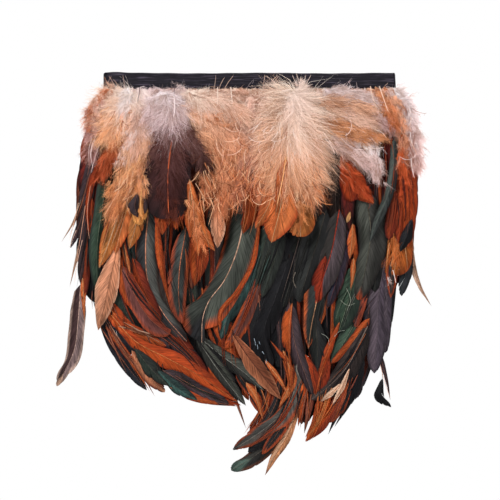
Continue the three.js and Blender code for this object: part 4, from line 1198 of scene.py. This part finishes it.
def shade_classes(top, low, depth=SHADE_DEPTH):
    """A tuft's tints from top to low, each in a deep tone of painted shade, a middle tone and a pale tone of
    painted highlight.
    """
    share = (np.arange(HEIGHTS)[:, None] + 0.5) / HEIGHTS
    shades = linear(top, DOWN_GAIN) * (1 - share) + linear(low, DOWN_GAIN) * share
    return np.minimum(shades[:, None] * (1 + depth * SHADE_AND_HIGHLIGHT_STEPS), PALEST).reshape(HEIGHTS * TONES, 3)


def draw_tints(share, spread, rng):
    """A tint for each clump, by its share of the way from top to low and by chance."""
    height = ((share + rng.normal(0, spread, len(share))) * HEIGHTS).astype(int)
    return np.clip(height, 0, HEIGHTS - 1) * TONES + rng.integers(0, TONES, len(share))


def press(points):
    """Keep points near the panel: what stands out too far is pressed back, in front, behind and on top."""
    lift = -points[..., 1] / MM
    past = np.maximum(np.abs(lift) - DEEPEST_MM, 0)
    points[..., 1] = -np.sign(lift) * (np.abs(lift) - (1 - PRESSED) * past) * MM
    points[..., 2] -= (1 - PRESSED) * np.maximum(points[..., 2] - HIGHEST_MM * MM, 0)
    return points


def grow_strands(pile, start, heading, reach, tint, shades, outward, rng):
    """Clumps of strands with their side hairs, each clump given by its start, heading, reach and tint."""
    first_cell = pile.new_cells(len(shades))
    number = len(start) * STRANDS_PER_CLUMP
    clumps = (start, heading, reach, tint)
    start, heading, reach, tint = (np.repeat(part, STRANDS_PER_CLUMP, axis=0) for part in clumps)
    start = start + rng.normal(0, CLUMP_SPREAD_MM * MM, (number, 3))
    heading = unit(heading + rng.normal(0, CLUMP_HEADING_SPREAD, (number, 3)))
    reach = reach * rng.uniform(*CLUMP_REACHES, number)
    sway = unit(np.cross(heading, FRONT)) * rng.normal(0, STRAND_SWAY, (number, 1))
    bow = 4 * STRAND_STEPS * (1 - STRAND_STEPS)
    curves = start[:, None] + reach[:, None, None] * (
        STRAND_STEPS[:, None] * heading[:, None]
        + STRAND_SAG * STRAND_STEPS[:, None] ** 2 * (DOWN - STRAND_INWARD * outward)
        + bow[:, None] * sway[:, None]
    )
    curves = press(curves)
    strand_strips(pile, curves, first_cell, tint, shades, STRAND_MM, rng)
    for _ in range(BARBULES_PER_STRAND):
        strand_strips(pile, press(barbules(curves, rng)), first_cell, tint, shades, BARBULE_MM, rng)


def grow_tuft(tuft, rng):
    """A tuft's clumps, which leave its shaft to both sides."""
    outward = FRONT * np.sign(tuft.lift[0])
    line = smooth_path(at_pixels(tuft.shaft, np.linspace(*tuft.lift, len(tuft.shaft))), TUFT_STEPS)
    ahead = unit(np.gradient(line, axis=0))
    clumps = tuft.count // STRANDS_PER_CLUMP
    t = rng.random(clumps)
    row = np.minimum((t * TUFT_STEPS).astype(int), TUFT_STEPS - 1)
    offset = np.clip(rng.normal(0, 1, (clumps, 3)), -TUFT_SPREAD_LIMIT, TUFT_SPREAD_LIMIT)
    start = line[row] + offset * TUFT_SPREAD_MM * MM
    side = rng.choice((-1.0, 1.0), clumps)
    spread = np.radians(between(tuft.angles, t))
    angle = spread * rng.uniform(*ANGLE_SHARES, clumps) + rng.normal(0, HEADING_SPREAD, clumps)
    beside = np.cross(FRONT, ahead[row]) * side[:, None]
    rise = rng.uniform(*RISES, clumps)
    heading = np.cos(angle)[:, None] * ahead[row] + np.sin(angle)[:, None] * beside + rise[:, None] * outward
    reach = np.where(side < 0, *tuft.reach) * PIXEL * rng.uniform(*REACH_SHARES, clumps)
    reach *= END_REACH + (1 - END_REACH) * np.sin(math.pi * np.clip(t, *END_SHARES))
    tint = draw_tints(t, TUFT_TINT_SPREAD, rng)
    shades = shade_classes(tuft.top, tuft.low, tuft.depth)
    grow_strands(PILES[tuft.node], start, heading, reach, tint, shades, outward, rng)


def grow_down(rng):
    for tuft in starmap(Tuft, TUFTS):
        grow_tuft(tuft, rng)


# The down that starts along the hem: where each node's share of it lies, and its colours from left to right.
HEM_COLOURS = {
    "plume_1": (104, 122, (250, 206, 174), (255, 226, 204)),
    "plume_2": (122, 148, (255, 238, 230), (246, 226, 224)),
    "plume_3": (148, 194, (246, 228, 228), (240, 214, 204)),
    "plume_4": (194, 248, (255, 226, 206), (255, 214, 190)),
    "plume_5": (248, 326, (255, 226, 206), (255, 232, 220)),
    "plume_6": (326, 368, (240, 218, 216), (248, 226, 220)),
    "plume_7": (368, 396, (246, 190, 150), (250, 224, 214)),
}
HEM_STRANDS_PER_PX = 17
HEM_TOP_PX, HEM_LIFTS, HEM_REACH_PX = (89, 94), (3, 9), (10, 24)
HEM_ANGLE_SPREAD, HEM_FORWARD, HEM_TINT_SPREAD = 0.7, (-0.7, -0.1), 0.1


def grow_hem(rng):
    for node, (left, right, first, last) in HEM_COLOURS.items():
        clumps = (right - left) * HEM_STRANDS_PER_PX // STRANDS_PER_CLUMP
        share = rng.random(clumps)
        top = rng.uniform(*HEM_TOP_PX, clumps)
        start = at_pixel(between((left, right), share), top, rng.uniform(*HEM_LIFTS, clumps))
        angle = rng.normal(0, HEM_ANGLE_SPREAD, clumps)
        heading = np.stack((np.sin(angle), rng.uniform(*HEM_FORWARD, clumps), -np.cos(angle)), axis=1)
        reach = rng.uniform(*HEM_REACH_PX, clumps) * PIXEL
        tint = draw_tints(share, HEM_TINT_SPREAD, rng)
        grow_strands(PILES[node], start, unit(heading), reach, tint, shade_classes(first, last), FRONT, rng)


# Single hairs that stray over the ribbon, and pale shafts and glints that show in the down and on the
# feathers, by their pixels.
Stray = namedtuple("Stray", "node colour width_mm lift points")
STRAYS = (
    ("plume_1", (226, 168, 134), 0.4, 4, ((113, 91), (108, 84), (104.5, 77))),
    ("plume_1", (214, 178, 160), 0.4, 4, ((117, 91), (114, 84), (109, 76))),
    ("plume_1", (196, 160, 146), 0.35, 4, ((106, 90), (108, 83), (112, 76))),
    ("plume_1", (226, 190, 168), 0.35, 4, ((119, 91), (117, 84), (113, 79))),
    ("plume_1", (206, 172, 158), 0.35, 4, ((124, 92), (124.5, 84), (123, 75))),
    ("plume_3", (214, 186, 170), 0.35, 4, ((213, 92), (215, 84), (216, 75))),
    ("plume_4", (224, 190, 168), 0.4, 4, ((218, 93), (221, 84), (225, 77))),
    ("plume_4", (224, 190, 168), 0.4, 4, ((223, 92), (228, 83), (234, 75))),
    ("plume_4", (150, 138, 140), 0.35, 4, ((246, 92), (249, 85), (254, 80), (252, 85))),
    ("plume_5", (220, 186, 166), 0.35, 4, ((262, 93), (263.5, 84), (265, 75))),
    ("plume_5", (226, 192, 172), 0.4, 4, ((266, 92), (271, 83), (278, 75))),
    ("plume_5", (226, 192, 172), 0.4, 4, ((269, 92), (273, 84), (279, 76))),
    ("plume_5", (240, 216, 202), 0.45, 6, ((299, 95), (296, 85), (292, 75))),
    ("plume_5", (240, 216, 202), 0.45, 6, ((300, 95), (299, 84), (296, 73))),
    ("plume_5", (240, 216, 202), 0.45, 6, ((301, 95), (303, 85), (306, 75))),
    ("plume_5", (240, 216, 202), 0.45, 6, ((303, 95), (306, 85), (311, 75))),
    ("plume_6", (206, 186, 182), 0.35, 4, ((353, 93), (351, 87), (348, 81))),
    ("plume_6", (206, 186, 182), 0.35, 4, ((358, 93), (357, 88), (356, 82))),
    ("plume_7", (220, 188, 172), 0.35, 4, ((380, 92), (384, 87), (388, 83))),
    ("plume_3", (206, 100, 56), 0.9, 25.5, ((172.5, 143), (169, 174), (169.5, 215))),
    ("plume_6", (226, 146, 98), 0.5, 19, ((341, 165), (353, 181), (373, 204))),
    ("feather_right_dangle", (206, 164, 142), 0.5, 5.6, ((378, 356), (381.5, 371), (385, 384), (390, 398))),
    ("lock_9", (244, 232, 222), 0.6, 12.6, ((392, 270), (393.5, 276), (395, 283))),
    ("plume_5", (246, 190, 132), 0.7, 32, ((285.5, 158), (282, 180), (276.5, 206))),
    ("lock_6", (150, 140, 126), 0.35, 10.5, ((295, 272), (293, 280), (296, 288))),
    ("lock_7", (156, 164, 152), 0.3, 11, ((321, 333), (327, 337), (329, 346))),
    ("lock_8", (156, 164, 152), 0.3, 11, ((334, 336), (339, 331), (345, 330))),
    ("lock_8", (150, 158, 142), 0.3, 11, ((346, 288), (350, 299), (346, 312))),
    ("lock_8", (150, 158, 142), 0.3, 11, ((340, 300), (347, 305), (355, 303))),
    # Small pale blue strips on the black feather: painted glints.
    ("feather_centre_black", (166, 184, 196), 0.4, 10, ((254, 338), (255, 341), (255.5, 345))),
    ("feather_centre_black", (166, 184, 196), 0.4, 10, ((257, 344), (257.5, 346), (258, 349))),
    ("feather_centre_black", (146, 166, 180), 0.4, 10, ((259, 341), (259.5, 342.5), (260, 344))),
    ("feather_centre_black", (166, 184, 196), 0.4, 10, ((262, 351), (263, 352), (264, 354))),
    ("feather_centre_black", (146, 166, 180), 0.4, 10, ((266, 359), (266.5, 361), (265.5, 363))),
    ("lock_1", (226, 180, 152), 0.45, 8.5, ((79, 203), (75, 222), (70, 241))),
    ("lock_1", (208, 152, 122), 0.45, 8.5, ((86, 206), (82, 232), (77, 262))),
    ("lock_1", (214, 160, 130), 0.4, 9, ((91, 186), (88, 214), (91, 248))),
    ("lock_1", (232, 198, 178), 0.4, 8.5, ((77, 230), (73, 240), (70, 248))),
    ("lock_1", (220, 176, 150), 0.4, 8.5, ((83, 240), (78, 262), (75, 284))),
    ("plume_1", (236, 222, 220), 0.4, 13.5, ((98, 134), (93, 146), (91, 160))),
    ("plume_1", (226, 208, 206), 0.4, 13.5, ((96, 140), (92, 154), (94, 170))),
    ("plume_1", (236, 222, 220), 0.35, 13.5, ((93, 138), (90, 150), (90, 163))),
    ("plume_1", (226, 208, 206), 0.35, 13.5, ((101, 144), (96, 158), (92, 174))),
    ("plume_2", (240, 184, 118), 0.6, 25, ((143, 190), (142, 204), (142.5, 217))),
    ("plume_2", (252, 236, 224), 0.7, 21, ((134, 89), (131, 98), (126, 110))),
    ("plume_2", (96, 80, 82), 0.6, 20, ((141, 89), (140, 96), (138.5, 104))),
    ("plume_3", (244, 232, 230), 0.8, 24, ((175, 98), (175.5, 110), (174, 124))),
    ("plume_3", (92, 76, 80), 0.6, 20, ((175, 88), (175, 94), (174.5, 100))),
    ("plume_4", (250, 232, 216), 0.7, 23, ((218, 89), (218, 99), (217, 111))),
    ("plume_4", (250, 232, 216), 0.7, 23, ((231, 89), (232, 101), (233, 114))),
    ("plume_7", (252, 226, 204), 0.7, 22, ((369, 88), (371, 98), (375, 109))),
    ("plume_7", (252, 226, 204), 0.7, 22, ((378, 88), (382, 100), (387, 114))),
    ("plume_4", (232, 176, 132), 0.4, 22, ((206, 160), (216, 172), (214, 190), (204, 196), (198, 208))),
    ("plume_4", (236, 188, 148), 0.4, 22, ((210, 158), (222, 176), (221, 196), (212, 204))),
    ("plume_4", (226, 164, 116), 0.4, 21, ((200, 176), (209, 188), (212, 202), (203, 214))),
    ("plume_4", (240, 196, 158), 0.4, 21, ((196, 184), (206, 198), (218, 200), (224, 208))),
    ("plume_2", (240, 200, 164), 0.4, 20, ((128, 170), (122, 188), (112, 205), (105, 218))),
    ("plume_2", (240, 200, 164), 0.4, 20, ((134, 172), (131, 190), (128, 206), (132, 216))),
)
STRAY_STEPS = 12
STRAY_TILT = 0.1
STRAY_TIP_WIDTH = 0.5


def grow_strays(rng):
    for stray in starmap(Stray, STRAYS):
        pile = PILES[stray.node]
        curve = smooth_path(at_pixels(stray.points, stray.lift), STRAY_STEPS)
        shades = linear(stray.colour, DOWN_GAIN)[None]
        widths = (stray.width_mm, STRAY_TIP_WIDTH * stray.width_mm)
        strand_strips(pile, curve[None], pile.new_cells(1), np.zeros(1, int), shades, widths, rng, STRAY_TILT)


# Loose curled strands over the lower down: their node and number, the field they start in as left, top, right
# and low pixels, their lift, their way from straight down to the right in degrees at both sides, and colours.
Curls = namedtuple("Curls", "node number field lift turn colours")
CURLS = (
    ("plume_1", 24, (104, 106, 128, 132), 21, (-40, -16), ((250, 214, 186), (244, 186, 138), (168, 96, 60))),
    ("plume_2", 36, (122, 160, 150, 192), 21, (-26, -8), ((246, 206, 166), (232, 164, 106), (116, 64, 38))),
    ("plume_4", 36, (212, 112, 250, 150), 25, (24, -30), ((255, 222, 198), (236, 174, 130), (150, 84, 54))),
    ("plume_4", 130, (200, 152, 252, 204), 24, (18, -16), ((246, 194, 150), (226, 142, 92), (112, 58, 36))),
    ("plume_5", 50, (258, 120, 322, 160), 30, (-50, 50), ((255, 242, 230), (250, 206, 168), (176, 112, 78))),
    ("plume_5", 130, (256, 158, 318, 200), 29, (-30, 30), ((252, 214, 174), (230, 150, 96), (120, 64, 38))),
    ("plume_6", 50, (328, 100, 374, 150), 22, (70, 60), ((250, 232, 222), (226, 168, 124), (130, 84, 62))),
    ("plume_7", 40, (394, 100, 414, 160), 16, (10, 30), ((255, 246, 242), (240, 196, 170), (160, 110, 92))),
)
CURL_STEPS, CURL_LENGTH_PX, CURL_MM = 8, (9, 24), (0.46, 0.24)
CURL_SPREAD, CURL_BEND, CURL_LIFT_SPREAD, CURL_FALL = 0.35, 1.0, 1.4, 2


def grow_curls(rng):
    share = np.linspace(0, 1, CURL_STEPS)
    for curls in starmap(Curls, CURLS):
        number, pile, (left, top, right, low) = curls.number, PILES[curls.node], curls.field
        across = rng.random(number)
        start_y = rng.uniform(top, low, number)
        turn = np.radians(np.interp(across, (0, 1), curls.turn)) + rng.normal(0, CURL_SPREAD, number)
        way = turn[:, None] + rng.normal(0, CURL_BEND, (number, 1)) * share
        step = rng.uniform(*CURL_LENGTH_PX, (number, 1)) / CURL_STEPS
        px = between((left, right), across)[:, None] + np.cumsum(step * np.sin(way), axis=1)
        py = start_y[:, None] + np.cumsum(step * np.cos(way), axis=1)
        lift = curls.lift + rng.normal(0, CURL_LIFT_SPREAD, (number, 1)) - CURL_FALL * share
        shades = linear(curls.colours, DOWN_GAIN)
        tint = rng.integers(0, len(shades), number)
        first_cell = pile.new_cells(len(shades))
        strand_strips(pile, press(at_pixel(px, py, lift)), first_cell, tint, shades, CURL_MM, rng, STRAY_TILT)


# Everything that grows, in order, with the seed of its chances.
for grow_layer, layer_seed in (
    (grow_shown, 7),
    (grow_sprays, 88),
    (grow_fill, 21),
    (grow_under, 52),
    (grow_down, 33),
    (grow_hem, 45),
    (grow_strays, 64),
    (grow_curls, 76),
):
    grow_layer(np.random.default_rng(layer_seed))


# Ribbon

RIBBON_STEPS = 200
RIBBON_WALL_STEPS, RIBBON_FOLD_STEPS = 9, 9
RIBBON_HALF_DEPTH_MM, RIBBON_HEIGHT_MM = 2.0, 12
RIBBON_CLOTH_MM = 0.4
CAP_CELL = (0.2, 0.8)
# The ends of the layer in front and of the one behind, left and right, how far the hem's right corner stands
# out, and the hem's depth at both ends.
RIBBON_FRONT_ENDS_MM, RIBBON_BACK_ENDS_MM = (-114.4, 115.3), (-117.3, 116.2)
RIBBON_CORNER_MM = 0.6
RIBBON_HEMS_MM = (12.6, 11.0)
# The wall's top under the fold, the fold's height as a share of its half depth, and a crumpled rise near the
# left end: its place, half length and height.
RIBBON_WALL_TOP_MM, RIBBON_CROWN = -0.6, 0.7
RISE_PLACE_MM, RISE_HALF_MM, RISE_MM = -107.0, 9.0, 0.7
# Waves along the ribbon, as height in millimetres, radians to a millimetre, and phase.
HEM_WAVES = ((0.22, 0.16, 0), (0.12, 0.43, 1))
TOP_WAVES = ((0.2, 0.06, 1), (0.1, 0.27, 0))
BULGE_WAVE, SHEAR_WAVE, SHEAR_TURN = (0.2, 0.19, 1.3), (0.12, 0.5), 5
# The satin's own dark tone and the tone of its painted highlight streaks, how crease noise runs along and
# across, and its ribs and threads as pitch and height.
SATIN_DARK, SATIN_HIGHLIGHT, SATIN_ROUGHNESS, SATIN_SPECULAR = (26, 22, 34), (104, 94, 112), 0.42, 0.1
CREASES_PER_MM, CREASE_HIGHLIGHT, CREASE_HEIGHT = (0.05, 0.9), (0.5, 0.72), 2.0
RIB_MM, RIB_HEIGHT, THREAD_MM, THREAD_HEIGHT = 0.45, 0.2, 0.3, 0.08
WEAVE_STRENGTH, WEAVE_METRES = 0.5, 0.0004


def ribbon_material():
    """Black satin: fine ribs along its length, with faint painted highlight streaks where it creases."""
    material, shader, add, calc, link = node_tools("ribbon_satin")
    form = add("ShaderNodeSeparateXYZ", {"Vector": attribute(add, "form", "Vector")})
    length, girth, _ = form.outputs
    along, across = calc("MULTIPLY", length, CREASES_PER_MM[0]), calc("MULTIPLY", girth, CREASES_PER_MM[1])
    place = add("ShaderNodeCombineXYZ", {"X": along, "Y": across})
    settings = {"Vector": place.outputs[0], "Scale": 1.0, "Detail": 5.0, "Roughness": 0.6}
    creases = add("ShaderNodeTexNoise", settings).outputs["Fac"]
    # Painted highlight: lighter streaks where the crease noise is high.
    light = smooth_step(add, creases, *CREASE_HIGHLIGHT)
    link(mix_colour(add, light, (*linear(SATIN_DARK), 1), (*linear(SATIN_HIGHLIGHT), 1)), "Base Color")
    ribs = calc("SINE", calc("MULTIPLY", girth, 2 * math.pi / RIB_MM))
    threads = calc("SINE", calc("MULTIPLY", length, 2 * math.pi / THREAD_MM))
    weave = calc("ADD", calc("MULTIPLY", ribs, RIB_HEIGHT), calc("MULTIPLY", threads, THREAD_HEIGHT))
    height = calc("ADD", weave, calc("MULTIPLY", creases, CREASE_HEIGHT))
    bump = add("ShaderNodeBump", {"Strength": WEAVE_STRENGTH, "Distance": WEAVE_METRES, "Height": height})
    link(bump.outputs[0], "Normal")
    shader.inputs["Roughness"].default_value = SATIN_ROUGHNESS
    shader.inputs["Specular IOR Level"].default_value = SATIN_SPECULAR
    return material


def ribbon_section():
    """The fold's outer line from the front hem over the top to the back hem: depth, height and crown.

    Height is a share of the wall's, and crown a share of the fold's rise over the wall.
    """
    wall = np.linspace(0, 1, RIBBON_WALL_STEPS)[:-1]
    turn = np.linspace(math.pi, 0, RIBBON_FOLD_STEPS)
    side = np.full(len(wall), RIBBON_HALF_DEPTH_MM)
    y = np.concatenate((-side, RIBBON_HALF_DEPTH_MM * np.cos(turn), side))
    height = np.concatenate((wall, np.ones(RIBBON_FOLD_STEPS), wall[::-1]))
    crown = np.concatenate((np.zeros(len(wall)), np.sin(turn), np.zeros(len(wall))))
    return y, height, crown


def waves(x, rows):
    return sum(height * np.sin(rate * x + phase) for height, rate, phase in rows)


def ribbon_layers():
    """The ribbon's outer and inner face, in millimetres, as grids (step along, point of the section, 3)."""
    y, height, crown = ribbon_section()
    behind = (y / RIBBON_HALF_DEPTH_MM + 1) / 2
    along = np.linspace(0, 1, RIBBON_STEPS)[:, None]
    left, right = (between(pair, behind) for pair in zip(RIBBON_FRONT_ENDS_MM, RIBBON_BACK_ENDS_MM))
    x = between((left, right + RIBBON_CORNER_MM * (1 - height)), along)
    hem = between(RIBBON_HEMS_MM, along) + waves(x, HEM_WAVES)
    rise = RISE_MM * np.exp(-(((x - RISE_PLACE_MM) / RISE_HALF_MM) ** 2))
    top = RIBBON_WALL_TOP_MM + waves(x, TOP_WAVES) + rise
    z = between((-hem, top), height) + crown * RIBBON_HALF_DEPTH_MM * RIBBON_CROWN
    bulge = waves(x, (BULGE_WAVE,)) * np.sin(math.pi * height)
    bulge = bulge + waves(x, ((*SHEAR_WAVE, SHEAR_TURN * height),))
    outward = np.where(height < 1, np.sign(y), y / RIBBON_HALF_DEPTH_MM)
    outer = np.stack((x, y + outward * bulge, z), axis=-1)
    inward = np.stack(np.broadcast_arrays(0.0, -outward, -crown), axis=-1)
    return outer, outer + RIBBON_CLOTH_MM * unit(inward)


def build_ribbon():
    """A closed shell of both faces, joined along the hems and at the ends."""
    pile = Pile()
    outer, inner = ribbon_layers()
    y, height, crown = ribbon_section()
    loop = np.concatenate((outer, inner[:, ::-1]), axis=1) * MM
    steps = np.hypot(np.diff(y), np.diff(height * RIBBON_HEIGHT_MM + crown))
    girth = np.concatenate(([0.0], np.cumsum(steps)))
    form = np.stack(np.broadcast_arrays(outer[..., 0], girth, 0.0), axis=-1)
    along, around = np.linspace(0, 1, RIBBON_STEPS)[:, None], np.linspace(0, 1, loop.shape[1])
    places = np.stack(np.broadcast_arrays(along, around), axis=-1)
    loop_form = np.concatenate((form, form[:, ::-1]), axis=1)
    pile.add(loop[None], 0, pile.new_cells(1), places[None], wrap=True, form=loop_form[None])
    cap_places = np.stack(np.meshgrid(np.linspace(0, 1, len(y)), CAP_CELL), axis=-1)
    for end, order in ((0, 1), (-1, -1)):
        cap = np.stack((outer[end], inner[end]))[::order] * MM
        pile.add(cap[None], 0, pile.new_cells(1), cap_places[None], form=form[end][None, None])
    piece = pile.build("ribbon_satin", [ribbon_material()])
    shell = bmesh.new()
    shell.from_mesh(piece.data)
    bmesh.ops.remove_doubles(shell, verts=shell.verts, dist=1e-6)
    bmesh.ops.recalc_face_normals(shell, faces=shell.faces)
    shell.to_mesh(piece.data)
    shell.free()
    return piece


ribbon = build_ribbon()
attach(ribbon, "root")
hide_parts("ribbon_band")


# Pieces


def build_pieces():
    """One piece for each node that has feathers or down."""
    for node, pile in PILES.items():
        if not pile.count:
            continue
        piece = pile.build(node.replace("feather_", "") + "_feathers", MATERIALS)
        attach(piece, "root")
        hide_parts(node)


build_pieces()


# Camera, light and stage

CAMERA_DISTANCE = 2.0
SENSOR_MM = 36
FRAME_CENTRE = at_pixel(PHOTO_PX / 2, PHOTO_PX / 2, 0)


def add_camera():
    """A camera straight in front, whose frame is the photograph's."""
    data = bpy.data.cameras.new("camera")
    data.sensor_width = SENSOR_MM
    data.lens = SENSOR_MM * CAMERA_DISTANCE / (PHOTO_PX * PIXEL)
    camera = bpy.data.objects.new("camera", data)
    camera.location = FRAME_CENTRE + FRONT * CAMERA_DISTANCE
    camera.rotation_euler = (math.radians(90), 0, 0)
    bpy.context.scene.collection.objects.link(camera)
    bpy.context.scene.camera = camera


FLOOR_HEIGHT, FLOOR_RADIUS, FLOOR_SIDES = -0.45, 0.8, 96
FLOOR_COLOUR, FLOOR_ROUGHNESS = (0.85, 0.85, 0.85, 1), 0.8


def add_floor():
    """A plain pale round floor, well below the feather tips."""
    bpy.ops.mesh.primitive_circle_add(
        vertices=FLOOR_SIDES, radius=FLOOR_RADIUS, fill_type="NGON", location=(0, 0, FLOOR_HEIGHT)
    )
    floor = bpy.context.object
    floor.name = "floor"
    material, shader, _, _, _ = node_tools("floor")
    shader.inputs["Base Color"].default_value = FLOOR_COLOUR
    shader.inputs["Roughness"].default_value = FLOOR_ROUGHNESS
    floor.data.materials.append(material)


# Round soft lamps: their place and what they look at, their size, and their power in watts.
Lamp = namedtuple("Lamp", "name place target size power")
LAMPS = (
    Lamp("key", (-0.8, -1.5, 0.9), (0, 0, -0.13), 0.7, 52),
    Lamp("fill", (1.1, -1.5, 0.2), (0, 0, -0.15), 1.2, 22),
    Lamp("back", (0.6, 1.6, 0.5), (0, 0, -0.15), 1.2, 40),
)


def add_lamp(lamp):
    data = bpy.data.lights.new(lamp.name, "AREA")
    data.shape, data.size, data.energy = "DISK", lamp.size, lamp.power
    light = bpy.data.objects.new(lamp.name, data)
    light.location = lamp.place
    aim = Vector(lamp.target) - Vector(lamp.place)
    light.rotation_euler = aim.to_track_quat("-Z", "Y").to_euler()
    bpy.context.scene.collection.objects.link(light)


AMBIENT = 0.4


def add_world():
    """A white surround to look at, which lights the feathers only dimly, so that lamps give them shape."""
    world = bpy.data.worlds.new("world")
    world.use_nodes = True
    nodes, links = world.node_tree.nodes, world.node_tree.links
    seen = nodes.new("ShaderNodeLightPath")
    strength = nodes.new("ShaderNodeMapRange")
    strength.inputs["To Min"].default_value = AMBIENT
    links.new(seen.outputs["Is Camera Ray"], strength.inputs["Value"])
    links.new(strength.outputs["Result"], nodes["Background"].inputs["Strength"])
    nodes["Background"].inputs["Color"].default_value = (1, 1, 1, 1)
    bpy.context.scene.world = world


add_camera()
add_floor()
for lamp in LAMPS:
    add_lamp(lamp)
add_world()
bpy.context.scene.view_settings.view_transform = "Standard"
